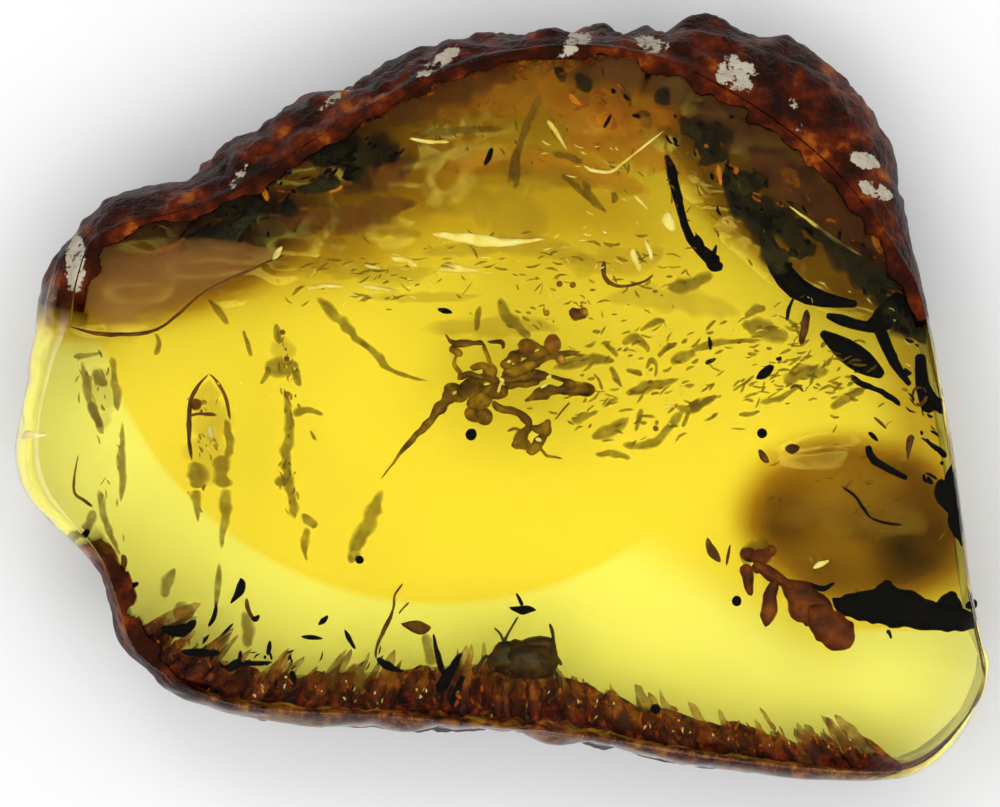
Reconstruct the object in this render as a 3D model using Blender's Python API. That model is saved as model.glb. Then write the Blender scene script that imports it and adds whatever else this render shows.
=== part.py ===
"""A fossil aphid in a polished piece of amber.

The amber is a slice with a low domed top, a flat underside and its natural crust left on the
upper and lower edges. It is parted level in two, so that the aphid and the plant remains lie in
pockets between the halves. Metres, +Z up; the origin is at the middle of the underside.
"""

from math import cos, pi, radians, sin

import bmesh
import bpy
import numpy as np
from mathutils import Matrix, Vector

MM = 0.001

# The amber slice
CENTRE_HEIGHT = 5.8 * MM
PART_HEIGHT = 2.9 * MM
PART_GAP = 0.1 * MM
COLUMNS = 96
FACE_RINGS = (0.35, 0.68, 0.9)
DOME_RADIUS = 120 * MM
SHOULDER_STEPS = 4
UNDERSIDE_STEPS = 5
# Crust lumps: the size of a lump, and how far it stands out at each side
LUMP_CELL = 1.5 * MM
LUMP_SEED = 7
LATTICE = 32

# Widest outline of the slice, seen from above, in millimetres
GIRDLE_OUTLINE = (
    (14.8, -7.4), (15.1, -8.3), (14.4, -10.0), (13.1, -11.4), (11.7, -11.7), (9.9, -11.7),
    (5.8, -11.3), (2.7, -10.6), (-0.4, -10.2), (-6.0, -10.0), (-9.2, -9.5), (-11.5, -7.8),
    (-12.5, -5.4), (-13.1, -4.5), (-14.3, -3.5), (-15.0, -1.9), (-14.8, 0.5), (-14.4, 2.7),
    (-13.9, 4.3), (-12.6, 6.0), (-11.5, 6.6), (-10.4, 6.8), (-9.5, 7.1), (-7.3, 8.8),
    (-6.2, 9.4), (-4.2, 10.0), (-2.8, 10.8), (-1.9, 11.2), (-0.7, 11.5), (1.8, 11.5),
    (5.2, 11.6), (6.4, 11.7), (7.5, 11.5), (8.9, 11.1), (10.3, 10.2), (11.4, 9.2),
    (12.0, 7.9), (12.5, 5.8), (13.1, 3.1), (13.7, 0.0), (14.2, -3.1), (14.5, -5.6),
)
# Edge of the polished top face, in millimetres
FACE_OUTLINE = (
    (14.9, -8.4), (14.3, -9.8), (13.0, -11.1), (11.4, -11.4), (7.7, -11.1), (2.7, -10.3),
    (-3.2, -9.7), (-7.8, -9.4), (-10.0, -8.6), (-11.3, -7.6), (-11.8, -6.2), (-12.3, -4.9),
    (-13.1, -3.8), (-14.0, -2.5), (-14.2, -0.9), (-13.8, 1.0), (-13.3, 2.2), (-13.1, 3.6),
    (-12.6, 4.9), (-11.4, 5.5), (-10.0, 5.8), (-8.1, 6.5), (-5.0, 8.5), (-1.9, 10.1),
    (1.5, 10.9), (4.6, 10.6), (7.5, 9.2), (10.2, 7.1), (12.2, 4.5), (12.9, 3.1),
    (13.5, 0.0), (14.0, -3.1), (14.3, -5.6),
)

# The aphid: where it lies, which way it faces, and its body
APHID_PLACE = Vector((0.59 * MM, -7.97 * MM, PART_HEIGHT))
APHID_TURN = radians(12)
# Name: centre and radii in millimetres, along the body, across it and up
APHID_BODY = {
    "abdomen": ((-0.32, -0.02, 0.00), (0.70, 0.63, 0.48)),
    "thorax": ((0.38, 0.08, 0.02), (0.54, 0.60, 0.42)),
    "head": ((0.86, 0.10, 0.00), (0.21, 0.34, 0.26)),
    "left_eye": ((0.90, 0.38, 0.06), (0.10, 0.09, 0.10)),
    "right_eye": ((0.90, -0.18, 0.06), (0.10, 0.09, 0.10)),
}
# Limbs: thickness at the root and at the tip, then the joints from the root out, in millimetres
APHID_LIMBS = {
    "left_antenna": (0.10, 0.06, (
        (0.90, 0.22, 0.08), (1.07, 0.40, 0.12), (1.12, 0.68, 0.10), (1.06, 0.98, 0.05))),
    "right_antenna": (0.09, 0.05, (
        (0.96, 0.02, 0.08), (1.14, -0.10, 0.12), (1.22, -0.44, 0.08))),
    "left_fore_leg": (0.12, 0.07, (
        (0.50, 0.45, -0.16), (0.74, 0.76, -0.24), (0.40, 0.80, -0.36))),
    "right_fore_leg": (0.14, 0.09, (
        (0.70, -0.25, -0.12), (1.06, -0.84, -0.05), (0.90, -1.27, -0.18), (0.58, -1.42, -0.26))),
    "left_mid_leg": (0.12, 0.06, (
        (-0.06, 0.40, -0.12), (-0.35, 0.76, 0.02), (-0.60, 1.16, -0.16))),
    "right_mid_leg": (0.12, 0.07, (
        (0.36, -0.36, -0.15), (0.26, -0.92, -0.05), (0.44, -1.24, -0.22))),
    "left_hind_leg": (0.12, 0.05, (
        (-0.26, 0.40, 0.10), (-0.32, 0.76, 0.20), (0.26, 1.37, 0.04), (0.42, 1.66, -0.04),
        (0.28, 2.06, -0.14))),
    "right_hind_leg": (0.13, 0.06, (
        (-0.22, -0.40, -0.12), (-0.30, -0.92, 0.05), (-0.12, -1.22, -0.14))),
    "left_horn": (0.12, 0.08, ((-0.56, 0.24, 0.26), (-0.74, 0.38, 0.50))),
    "right_horn": (0.12, 0.08, ((-0.56, -0.28, 0.26), (-0.74, -0.42, 0.50))),
    "beak": (0.10, 0.05, ((0.88, 0.08, -0.14), (0.72, 0.06, -0.42), (0.36, 0.04, -0.46))),
    "tail": (0.20, 0.09, ((-0.92, -0.02, 0.02), (-1.12, -0.03, 0.06))),
}
APHID_POCKET = ((0.10, 0.30, 0.0), (1.62, 2.05, 0.85))

# Plant remains lie at the parting height. Each is a few flat blades, given as the thickness, then
# the middle line from end to end as x, y and width, all in millimetres
PLANT_REMAINS = {
    "bud_scales": (
        (0.55, ((9.00, -5.45, 0.40), (9.49, -6.17, 1.14), (10.04, -6.73, 1.26), (10.54, -7.35, 0.72))),
        (0.34, ((8.05, -4.95, 0.32), (8.60, -5.20, 0.34), (9.20, -5.75, 0.50))),
        (0.46, ((7.40, -4.60, 0.46), (7.78, -4.78, 0.84), (8.20, -4.90, 0.46))),
        (0.36, ((7.72, -4.80, 0.32), (7.62, -5.30, 0.34), (7.56, -5.88, 0.26))),
        (0.40, ((8.42, -5.10, 0.26), (8.28, -6.00, 0.56), (8.10, -6.72, 0.30))),
    ),
    "bark_sliver": (
        (0.55, ((10.80, -6.16, 0.44), (11.30, -6.33, 1.02), (12.00, -6.43, 1.14), (13.20, -6.67, 0.84),
                (14.20, -6.78, 0.60))),
    ),
    "plant_debris": (
        (0.90, ((-1.66, 0.30, 0.80), (-0.84, 0.36, 1.34), (-0.06, 0.56, 0.90))),
        (0.50, ((-3.75, -2.35, 0.13), (-2.64, -1.10, 0.38), (-1.52, 0.08, 0.56))),
        (0.45, ((-0.72, 0.10, 0.90), (-0.56, -0.62, 0.34))),
        (0.34, ((-1.60, 1.74, 0.24), (-0.96, 1.82, 0.34), (-0.42, 1.68, 0.34), (-0.30, 0.90, 0.34))),
        (0.34, ((-1.26, 1.62, 0.30), (-1.32, 0.70, 0.40))),
        (0.48, ((-0.20, 0.95, 0.40), (0.52, 1.42, 0.50), (1.05, 1.64, 0.42), (1.68, 1.76, 0.50))),
        (0.55, ((-0.10, 0.66, 0.76), (1.15, 0.72, 0.86), (2.60, 0.26, 0.50))),
        (0.34, ((-0.30, 0.00, 0.30), (0.65, -0.42, 0.28), (1.20, -0.72, 0.40))),
        (0.60, ((0.62, -1.18, 0.56), (0.92, -0.98, 0.80), (1.44, -0.72, 0.46))),
    ),
    "bark_flake_1": (
        (0.34, ((8.00, 5.24, 0.36), (8.49, 4.14, 0.66), (9.05, 3.46, 0.70), (9.86, 3.12, 0.50),
                (10.85, 2.98, 0.22))),
    ),
    "bark_flake_2": (
        (0.36, ((9.84, 2.08, 0.24), (10.48, 1.62, 0.70), (11.10, 1.18, 0.74), (11.64, 0.82, 0.32))),
    ),
    "bark_flake_3": (
        (0.30, ((10.00, 2.62, 0.18), (10.45, 2.48, 0.36), (11.20, 2.28, 0.34), (11.70, 2.50, 0.76),
                (12.22, 3.20, 0.44))),
        (0.28, ((11.58, 2.25, 0.40), (12.05, 1.18, 0.32), (12.52, 0.52, 0.16))),
    ),
    "bark_flake_4": ((0.26, ((11.25, -1.42, 0.20), (11.44, -1.84, 0.26), (12.42, -2.36, 0.16))),),
    "bark_flake_5": (
        (0.28, ((5.06, 7.50, 0.18), (5.24, 6.80, 0.30), (5.50, 5.80, 0.24), (5.78, 4.98, 0.28),
                (6.52, 4.26, 0.46))),
    ),
    "bark_flake_6": ((0.34, ((12.86, 1.36, 0.34), (12.92, 0.50, 0.44), (13.20, -0.16, 0.66))),),
}
BLADE_STEPS = 2
POCKET_MARGIN = 0.12 * MM


def clear_scene():
    for old in list(bpy.data.objects):
        bpy.data.objects.remove(old)


def linear(hex_colour):
    """The linear colour of an sRGB hex value."""
    shares = [int(hex_colour[i : i + 2], 16) / 255 for i in (0, 2, 4)]
    return [s / 12.92 if s <= 0.04045 else ((s + 0.055) / 1.055) ** 2.4 for s in shares] + [1]


def make_material(name, colour, roughness, clear=0.0, ior=1.5):
    material = bpy.data.materials.new(name)
    material.use_nodes = True
    shader = material.node_tree.nodes["Principled BSDF"]
    shader.inputs["Base Color"].default_value = linear(colour)
    shader.inputs["Roughness"].default_value = roughness
    shader.inputs["Metallic"].default_value = 0.0
    shader.inputs["Transmission Weight"].default_value = clear
    shader.inputs["IOR"].default_value = ior
    return material


def make_collection(name):
    collection = bpy.data.collections.new(name)
    bpy.context.scene.collection.children.link(collection)
    return collection


def add_mesh(name, mesh, collection):
    made = bpy.data.objects.new(name, mesh)
    collection.objects.link(made)
    return made


def make_helper(made):
    """Marks a piece that only cuts or joins, so that it isn't a part of its own."""
    made.hide_render = True
    made.display_type = "WIRE"
    return made


def boolean(target, operation, name, other=None, collection=None):
    modifier = target.modifiers.new(name, "BOOLEAN")
    modifier.operation = operation
    modifier.solver = "EXACT"
    if collection:
        modifier.operand_type = "COLLECTION"
        modifier.collection = collection
    else:
        modifier.object = other


def around(angle, east, north, west, south):
    """A value that changes smoothly round the slice, by squared cosine and sine lobes that add up to one."""
    c, s = np.cos(angle), np.sin(angle)
    lobes = (np.maximum(c, 0), np.maximum(s, 0), np.maximum(-c, 0), np.maximum(-s, 0))
    return sum(lobe**2 * value for lobe, value in zip(lobes, (east, north, west, south)))


def smooth_line(points, steps, closed=False):
    """Catmull-Rom curve through the points, with this many steps between each two."""
    points = np.array(points, float)
    if closed:
        padded = np.vstack([points[-1], points, points[0], points[1]])
    else:
        padded = np.vstack([2 * points[0] - points[1], points, 2 * points[-1] - points[-2]])
    t = (np.arange(steps) / steps)[None, :, None]
    a, b, c, d = (padded[i : len(padded) - 3 + i, None] for i in range(4))
    line = b + t * ((c - a) / 2 + t * ((a - 2.5 * b + 2 * c - d / 2) + t * (1.5 * (b - c) + (d - a) / 2)))
    line = line.reshape(-1, points.shape[1])
    return line if closed else np.vstack([line, points[-1]])


def radii_of(outline, angles):
    """Distance from the axis to a closed outline, at each angle."""
    line = smooth_line(outline, 8, closed=True) * MM
    bearing = np.arctan2(line[:, 1], line[:, 0]) % (2 * pi)
    order = np.argsort(bearing)
    return np.interp(angles, bearing[order], np.hypot(*line.T)[order], period=2 * pi)


def lattice_noise(points, cell, seed):
    """Smooth noise from 0 to 1: random values at the corners of a cubic lattice, blended by smoothstep."""
    values = np.random.default_rng(seed).random((LATTICE,) * 3)
    base = np.floor(points / cell).astype(int)
    part = points / cell - base
    part = part * part * (3 - 2 * part)
    total = np.zeros(points.shape[:-1])
    for corner in np.ndindex(2, 2, 2):
        weight = np.prod(np.where(corner, part, 1 - part), axis=-1)
        total += weight * values[tuple(np.moveaxis((base + corner) % LATTICE, -1, 0))]
    return total


def dome_height(radius):
    """Height of the polished top, part of a large sphere, at a distance from the axis."""
    return CENTRE_HEIGHT - radius**2 / (2 * DOME_RADIUS)


def slice_surface():
    """Rings of points from the top face out over the crust and under to the flat underside.

    The top is a low dome inside the face outline. A quarter ellipse leads from its edge out to the
    girdle, and another from there in to the underside, which is flat.
    """
    angle = np.arange(COLUMNS) * 2 * pi / COLUMNS
    face, girdle = radii_of(FACE_OUTLINE, angle), radii_of(GIRDLE_OUTLINE, angle)
    girdle = np.maximum(girdle, face + 0.08 * MM)
    foot = girdle - around(angle, 0.5, 1.1, 1.2, 1.9) * MM
    edge_height = dome_height(face)
    girdle_height = around(angle, 3.2, 2.2, 3.0, 4.3) * MM
    lumps = around(angle, 0.05, 0.75, 0.25, 0.35) * MM
    rings = []
    for share in FACE_RINGS:
        rings.append((share * face, dome_height(share * face), 0))
    for turn in np.linspace(0, pi / 2, SHOULDER_STEPS):
        radius = face + (girdle - face) * sin(turn)
        height = girdle_height + (edge_height - girdle_height) * cos(turn)
        rings.append((radius, height, sin(turn)))
    for turn in np.linspace(0, pi / 2, UNDERSIDE_STEPS + 1)[1:]:
        radius = foot + (girdle - foot) * cos(turn)
        height = girdle_height * (1 - sin(turn))
        rings.append((radius, height, cos(turn)))
    points = []
    for radius, height, roughness in rings:
        ring = np.stack([radius * np.cos(angle), radius * np.sin(angle), height + 0 * angle], axis=-1)
        lump = np.abs(2 * lattice_noise(ring, LUMP_CELL, LUMP_SEED) - 1) - 0.33
        grown = 1 + lumps * roughness * lump / radius
        points.append(ring * np.stack([grown, grown, np.ones(COLUMNS)], axis=-1))
    return np.array(points)


def slice_mesh():
    """The amber slice as a loft through its rings, closed by a fan at the top and at the underside."""
    rings = slice_surface()
    bottom_middle, top_middle = (0, 0, 0), (0, 0, CENTRE_HEIGHT)
    shape = bmesh.new()
    rows = [[shape.verts.new(point) for point in ring] for ring in rings]
    top, bottom = shape.verts.new(top_middle), shape.verts.new(bottom_middle)
    for i in range(COLUMNS):
        j = (i + 1) % COLUMNS
        shape.faces.new((rows[0][i], rows[0][j], top))
        shape.faces.new((rows[-1][j], rows[-1][i], bottom))
        for upper, lower in zip(rows, rows[1:]):
            shape.faces.new((upper[i], lower[i], lower[j], upper[j]))
    bmesh.ops.triangulate(shape, faces=shape.faces)
    bmesh.ops.recalc_face_normals(shape, faces=shape.faces)
    mesh = bpy.data.meshes.new("amber_slice")
    shape.to_mesh(mesh)
    shape.free()
    return mesh


def ellipsoid(name, centre, radii, collection, segments=14, rings=8):
    """A ball stretched to three radii, centre and radii in metres."""
    shape = bmesh.new()
    bmesh.ops.create_uvsphere(shape, u_segments=segments, v_segments=rings, radius=1)
    bmesh.ops.scale(shape, vec=radii, verts=shape.verts)
    bmesh.ops.translate(shape, vec=centre, verts=shape.verts)
    mesh = bpy.data.meshes.new(name)
    shape.to_mesh(mesh)
    shape.free()
    return add_mesh(name, mesh, collection)


def tapered_tube(name, line, radii, collection, flatten=1.0):
    """A round tube along a line with a radius at each point, then flattened towards its own level."""
    curve = bpy.data.curves.new(name, "CURVE")
    curve.dimensions = "3D"
    curve.bevel_depth = 1.0
    curve.bevel_resolution = 1
    curve.use_fill_caps = True
    spline = curve.splines.new("POLY")
    spline.points.add(len(line) - 1)
    for point, place, radius in zip(spline.points, line, radii):
        point.co = (*place, 1)
        point.radius = radius
    guide = bpy.data.objects.new(name + "_guide", curve)
    collection.objects.link(guide)
    bpy.context.view_layer.update()
    graph = bpy.context.evaluated_depsgraph_get()
    mesh = bpy.data.meshes.new_from_object(guide.evaluated_get(graph))
    bpy.data.objects.remove(guide)
    shape = bmesh.new()
    shape.from_mesh(mesh)
    bmesh.ops.remove_doubles(shape, verts=shape.verts, dist=0.001 * MM)
    level = float(np.mean([place[2] for place in line]))
    for vertex in shape.verts:
        vertex.co.z = level + (vertex.co.z - level) * flatten
    bmesh.ops.recalc_face_normals(shape, faces=shape.faces)
    shape.to_mesh(mesh)
    shape.free()
    return add_mesh(name, mesh, collection)


def blade(name, thickness, middle, collection, margin=0.0):
    """A flat blade with rounded ends, lying at the parting height, grown on all sides by a margin."""
    swept = smooth_line(middle, BLADE_STEPS) * MM
    line = np.column_stack([swept[:, :2], np.full(len(swept), PART_HEIGHT)])
    radii = swept[:, 2] / 2 + margin
    for end, neighbour in ((0, 1), (-1, -2)):
        way = line[end] - line[neighbour]
        tip = line[end] + way / np.linalg.norm(way) * (0.5 * radii[end] + margin)
        at = 0 if end == 0 else len(line)
        line = np.insert(line, at, tip, axis=0)
        radii = np.insert(radii, at, 0.5 * radii[end])
    flatten = (thickness * MM + 2 * margin) / (2 * radii.max())
    return tapered_tube(name, line, radii, collection, flatten)


def plant_remain(name, blades, parts, helpers, pockets, material):
    """One piece of plant: its blades joined in one solid, and the pocket that each blade lies in."""
    body = blade(name, *blades[0], parts)
    body.data.materials.append(material)
    for i, (thickness, middle) in enumerate(blades[1:]):
        other = make_helper(blade(f"{name}_blade_{i}", thickness, middle, helpers))
        boolean(body, "UNION", f"join blade {i}", other)
    for i, (thickness, middle) in enumerate(blades):
        make_helper(blade(f"{name}_pocket_{i}", thickness, middle, pockets, POCKET_MARGIN))


def aphid(parts, helpers, pockets, material):
    """The aphid: a round abdomen, thorax and head, with its legs, feelers, horns, beak and tail joined on."""
    place = Matrix.Translation(APHID_PLACE) @ Matrix.Rotation(APHID_TURN, 4, "Z")
    sizes = {name: [Vector(v) * MM for v in both] for name, both in APHID_BODY.items()}
    body = ellipsoid("aphid", *sizes.pop("abdomen"), parts)
    joined = [ellipsoid("aphid_" + name, *size, helpers, 10, 6) for name, size in sizes.items()]
    for name, (root, tip, joints) in APHID_LIMBS.items():
        line = np.array(joints) * MM
        radii = np.linspace(root, tip, len(line)) * MM / 2
        joined.append(tapered_tube("aphid_" + name, line, radii, helpers))
    pocket = ellipsoid("aphid_pocket", *(Vector(v) * MM for v in APHID_POCKET), pockets, 18, 8)
    for piece in (body, make_helper(pocket), *map(make_helper, joined)):
        piece.data.transform(place)
    for piece in joined:
        boolean(body, "UNION", "join " + piece.name, piece)
    body.data.materials.append(material)


def amber_half(name, mesh, low, high, parts, helpers, pockets, material):
    """The part of the slice between two heights, with the pockets cut out of it."""
    half = add_mesh(name, mesh.copy(), parts)
    half.data.materials.append(material)
    for end, height, way in (("top", high, 1), ("bottom", low, -1)):
        if height is None:
            continue
        side = 60 * MM
        block = bmesh.new()
        bmesh.ops.create_cube(block, size=side)
        bmesh.ops.translate(block, vec=(0, 0, height + way * side / 2), verts=block.verts)
        block_mesh = bpy.data.meshes.new(f"{name}_{end}_block")
        block.to_mesh(block_mesh)
        block.free()
        cutter = make_helper(add_mesh(f"{name}_{end}_block", block_mesh, helpers))
        boolean(half, "DIFFERENCE", f"cut level at the {end}", cutter)
    boolean(half, "DIFFERENCE", "cut pockets", collection=pockets)
    half.data.shade_smooth()
    half.data.set_sharp_from_angle(angle=radians(35))


def main():
    clear_scene()
    parts = make_collection("Fossil aphid in amber")
    helpers = make_collection("Cutters and joined pieces")
    pockets = make_collection("Pockets")
    amber = make_material("Amber", "e8a80c", 0.04, clear=1.0, ior=1.54)
    insect = make_material("Aphid skin", "3a2709", 0.55)
    plant = make_material("Plant remains", "5a2d05", 0.7)
    bark = make_material("Bark", "120c08", 0.8)
    aphid(parts, helpers, pockets, insect)
    for name, blades in PLANT_REMAINS.items():
        plant_remain(name, blades, parts, helpers, pockets, bark if name.startswith("bark") else plant)
    mesh = slice_mesh()
    amber_half("amber_upper", mesh, PART_HEIGHT + PART_GAP / 2, None, parts, helpers, pockets, amber)
    amber_half("amber_lower", mesh, None, PART_HEIGHT - PART_GAP / 2, parts, helpers, pockets, amber)
    bpy.data.meshes.remove(mesh)


main()
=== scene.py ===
"""A fossil aphid in a polished slice of amber, lying on white paper under soft light from above.

The amber is one clear piece, which stands for the two halves that part it in the solids. The
plant remains and the aphid are finer pieces in the same places. Metres, +Z up.
"""

from math import pi, radians

import bpy
import numpy as np
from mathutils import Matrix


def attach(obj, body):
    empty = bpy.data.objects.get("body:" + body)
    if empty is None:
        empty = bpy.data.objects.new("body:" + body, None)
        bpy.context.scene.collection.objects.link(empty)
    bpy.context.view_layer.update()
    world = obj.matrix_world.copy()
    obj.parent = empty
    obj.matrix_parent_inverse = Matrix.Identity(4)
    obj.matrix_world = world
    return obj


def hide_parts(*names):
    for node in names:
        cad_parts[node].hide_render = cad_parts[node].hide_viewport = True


MM = 0.001

# The amber slice, with the same outlines and heights as the solids
CENTRE_HEIGHT = 5.8
DOME_RADIUS = 120
# Height of the girdle in the east, north, west and south, and its least distance from the face's edge
GIRDLE_HEIGHTS = (3.2, 2.2, 3.0, 4.3)
LEAST_SHOULDER = 0.08
GIRDLE_OUTLINE = (
    (14.8, -7.4), (15.1, -8.3), (14.4, -10.0), (13.1, -11.4), (11.7, -11.7), (9.9, -11.7),
    (5.8, -11.3), (2.7, -10.6), (-0.4, -10.2), (-6.0, -10.0), (-9.2, -9.5), (-11.5, -7.8),
    (-12.5, -5.4), (-13.1, -4.5), (-14.3, -3.5), (-15.0, -1.9), (-14.8, 0.5), (-14.4, 2.7),
    (-13.9, 4.3), (-12.6, 6.0), (-11.5, 6.6), (-10.4, 6.8), (-9.5, 7.1), (-7.3, 8.8),
    (-6.2, 9.4), (-4.2, 10.0), (-2.8, 10.8), (-1.9, 11.2), (-0.7, 11.5), (1.8, 11.5),
    (5.2, 11.6), (6.4, 11.7), (7.5, 11.5), (8.9, 11.1), (10.3, 10.2), (11.4, 9.2),
    (12.0, 7.9), (12.5, 5.8), (13.1, 3.1), (13.7, 0.0), (14.2, -3.1), (14.5, -5.6),
)
FACE_OUTLINE = (
    (14.9, -8.4), (14.3, -9.8), (13.0, -11.1), (11.4, -11.4), (7.7, -11.1), (2.7, -10.3),
    (-3.2, -9.7), (-7.8, -9.4), (-10.0, -8.6), (-11.3, -7.6), (-11.8, -6.2), (-12.3, -4.9),
    (-13.1, -3.8), (-14.0, -2.5), (-14.2, -0.9), (-13.8, 1.0), (-13.3, 2.2), (-13.1, 3.6),
    (-12.6, 4.9), (-11.4, 5.5), (-10.0, 5.8), (-8.1, 6.5), (-5.0, 8.5), (-1.9, 10.1),
    (1.5, 10.9), (4.6, 10.6), (7.5, 9.2), (10.2, 7.1), (12.2, 4.5), (12.9, 3.1),
    (13.5, 0.0), (14.0, -3.1), (14.3, -5.6),
)
# Points round each ring of the amber, and random values along each side of the noise's lattice
COLUMNS = 768
LATTICE = 32
# Number of lobes in the fringe, and how far short of the girdle pressed pieces end, in millimetres
LOBES = 270
INSIDE_GIRDLE = 0.17
# Thickness of the strewn flecks in millimetres, and how much their sides are frayed
FLECK_THICKNESS = 0.2
FLECK_RAGGED = 0.4
# A painted reflection on the underside. Inside its edge the amber is tinted deeper yellow, and beyond it the
# underside is left paler, standing in for the polished face mirroring bright surroundings there.
# Middle, radius and soft width of its round edge, in millimetres, and how much its slanted edge falls for
# each millimetre to the right
PAINTED_REFLECTION_MIDDLE = (-1.91, 4.51)
PAINTED_REFLECTION_RADIUS = 10.62
PAINTED_REFLECTION_SOFTNESS = 0.24
PAINTED_REFLECTION_SLANT = 0.526
# How amber bends light, and the colour and density of what it takes out of it
AMBER_IOR = 1.54
AMBER_TINT = (0.997, 0.965, 0.03, 1)
AMBER_DENSITY = 190.0
# The camera, in millimetres: its sensor's width, the width it sees at a distance, and its place
SENSOR = 36.0
VIEW_WIDTH = 31.0
VIEW_DISTANCE = 220
CAMERA_PLACE = (-0.062, -0.0775, 223.2)
# Half the width of the sheet of paper, in millimetres
PAPER_HALF = 250
# Small things are placed by pixels read off the photograph: x runs right and y runs down. The
# step is what one pixel stands for in millimetres, and the middle is the pixel at the slice's middle
GRID_STEP = 0.031
GRID_MIDDLE = (502, 401)

# How much crust covers the rim, by bearing in degrees from the sawn edge: above and below the girdle
UPPER_CRUST = (
    (0, 0.0), (9, 0.0), (13, 1.0), (150, 1.0), (162, 0.85), (168, 0.3), (172, 0.0), (196, 0.0),
    (204, 0.8), (211, 0.7), (217, 0.7), (226, 0.2), (310, 0.2), (317, 0.1), (320, 0.0),
)
LOWER_CRUST = (
    (0, 0.0), (10, 0.2), (14, 1.0), (150, 1.0), (162, 0.5), (170, 0.0), (195, 0.0), (203, 0.4),
    (211, 0.1), (217, 0.6), (224, 1.0), (312, 1.0), (317, 0.35), (321, 0.0), (345, 0.0),
)
# How far the foot stands in from the girdle, in millimetres
FOOT_INSET = (
    (0, 0.25), (10, 0.35), (18, 0.9), (90, 1.1), (150, 1.1), (166, 0.4), (198, 0.35),
    (213, 0.5), (222, 1.5), (270, 1.9), (308, 1.6), (318, 0.6), (326, 0.25), (345, 0.25),
)
# How much of the crust shows through the amber from inside, by bearing
INNER_CRUST = (
    (12, 0.0), (16, 0.9), (60, 1.0), (130, 1.0), (150, 0.7), (160, 0.1),
    (205, 0.0), (215, 0.5), (222, 1.0), (308, 1.0), (316, 0.4), (322, 0.0),
)


def smooth_line(points, steps, closed=False):
    """Catmull-Rom curve through the points, with this many steps between each two."""
    points = np.array(points, float)
    if closed:
        padded = np.vstack([points[-1], points, points[0], points[1]])
    else:
        padded = np.vstack([2 * points[0] - points[1], points, 2 * points[-1] - points[-2]])
    t = (np.arange(steps) / steps)[None, :, None]
    a, b, c, d = (padded[i : len(padded) - 3 + i, None] for i in range(4))
    line = b + t * ((c - a) / 2 + t * ((a - 2.5 * b + 2 * c - d / 2) + t * (1.5 * (b - c) + (d - a) / 2)))
    line = line.reshape(-1, points.shape[1])
    return line if closed else np.vstack([line, points[-1]])


def radii_of(outline, angles):
    """Distance from the axis to a closed outline, at each angle."""
    line = smooth_line(outline, 8, closed=True)
    bearing = np.arctan2(line[:, 1], line[:, 0]) % (2 * pi)
    order = np.argsort(bearing)
    return np.interp(angles, bearing[order], np.hypot(*line.T)[order], period=2 * pi)


def lattice_noise(points, cell, seed):
    """Smooth noise from 0 to 1: random values at the corners of a cubic lattice, blended by smoothstep."""
    values = np.random.default_rng(seed).random((LATTICE,) * 3)
    base = np.floor(points / cell).astype(int)
    part = points / cell - base
    part = part * part * (3 - 2 * part)
    total = np.zeros(points.shape[:-1])
    for corner in np.ndindex(2, 2, 2):
        weight = np.prod(np.where(corner, part, 1 - part), axis=-1)
        total += weight * values[tuple(np.moveaxis((base + corner) % LATTICE, -1, 0))]
    return total


def step(low, high, value):
    """Smoothstep: 0 below low, 1 above high, with a soft ramp of cubic form between."""
    t = np.clip((value - low) / (high - low), 0, 1)
    return t * t * (3 - 2 * t)


def around(angle, east, north, west, south):
    """A value that changes smoothly round the slice, by squared cosine and sine lobes that add up to one."""
    c, s = np.cos(angle), np.sin(angle)
    shares = (np.maximum(c, 0), np.maximum(s, 0), np.maximum(-c, 0), np.maximum(-s, 0))
    return sum(share**2 * value for share, value in zip(shares, (east, north, west, south)))


def by_bearing(angle, table):
    """A value read off a table of bearings in degrees, straight between its rows."""
    degrees, values = np.array(table).T
    return np.interp(np.degrees(angle), degrees, values, period=360)


def on_slice(points):
    """Places and widths in the photograph's pixels, made millimetres on the slice."""
    points = np.array(points, float)
    points[:, :2] = (points[:, :2] - GRID_MIDDLE) * (GRID_STEP, -GRID_STEP)
    points[:, 2:] *= GRID_STEP
    return points


def blobs(x, y, table):
    """Soft ellipses added up: each is 1 at its middle and fades by smoothstep to 0 at its rim."""
    total = np.zeros(x.shape)
    for gx, gy, along, across, turn, soft, value in table:
        cx, cy, along, across = on_slice([(gx, gy, along, across)])[0]
        c, s = np.cos(radians(turn)), np.sin(radians(turn))
        u, v = (x - cx) * c + (y - cy) * s, (y - cy) * c - (x - cx) * s
        total += value * (1 - step(1 - soft, 1, np.hypot(u / along, v / across)))
    return total


def placed(name, held):
    """A new object in the scene, which holds a mesh, a lamp or a camera."""
    made = bpy.data.objects.new(name, held)
    bpy.context.scene.collection.objects.link(made)
    return made


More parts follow.
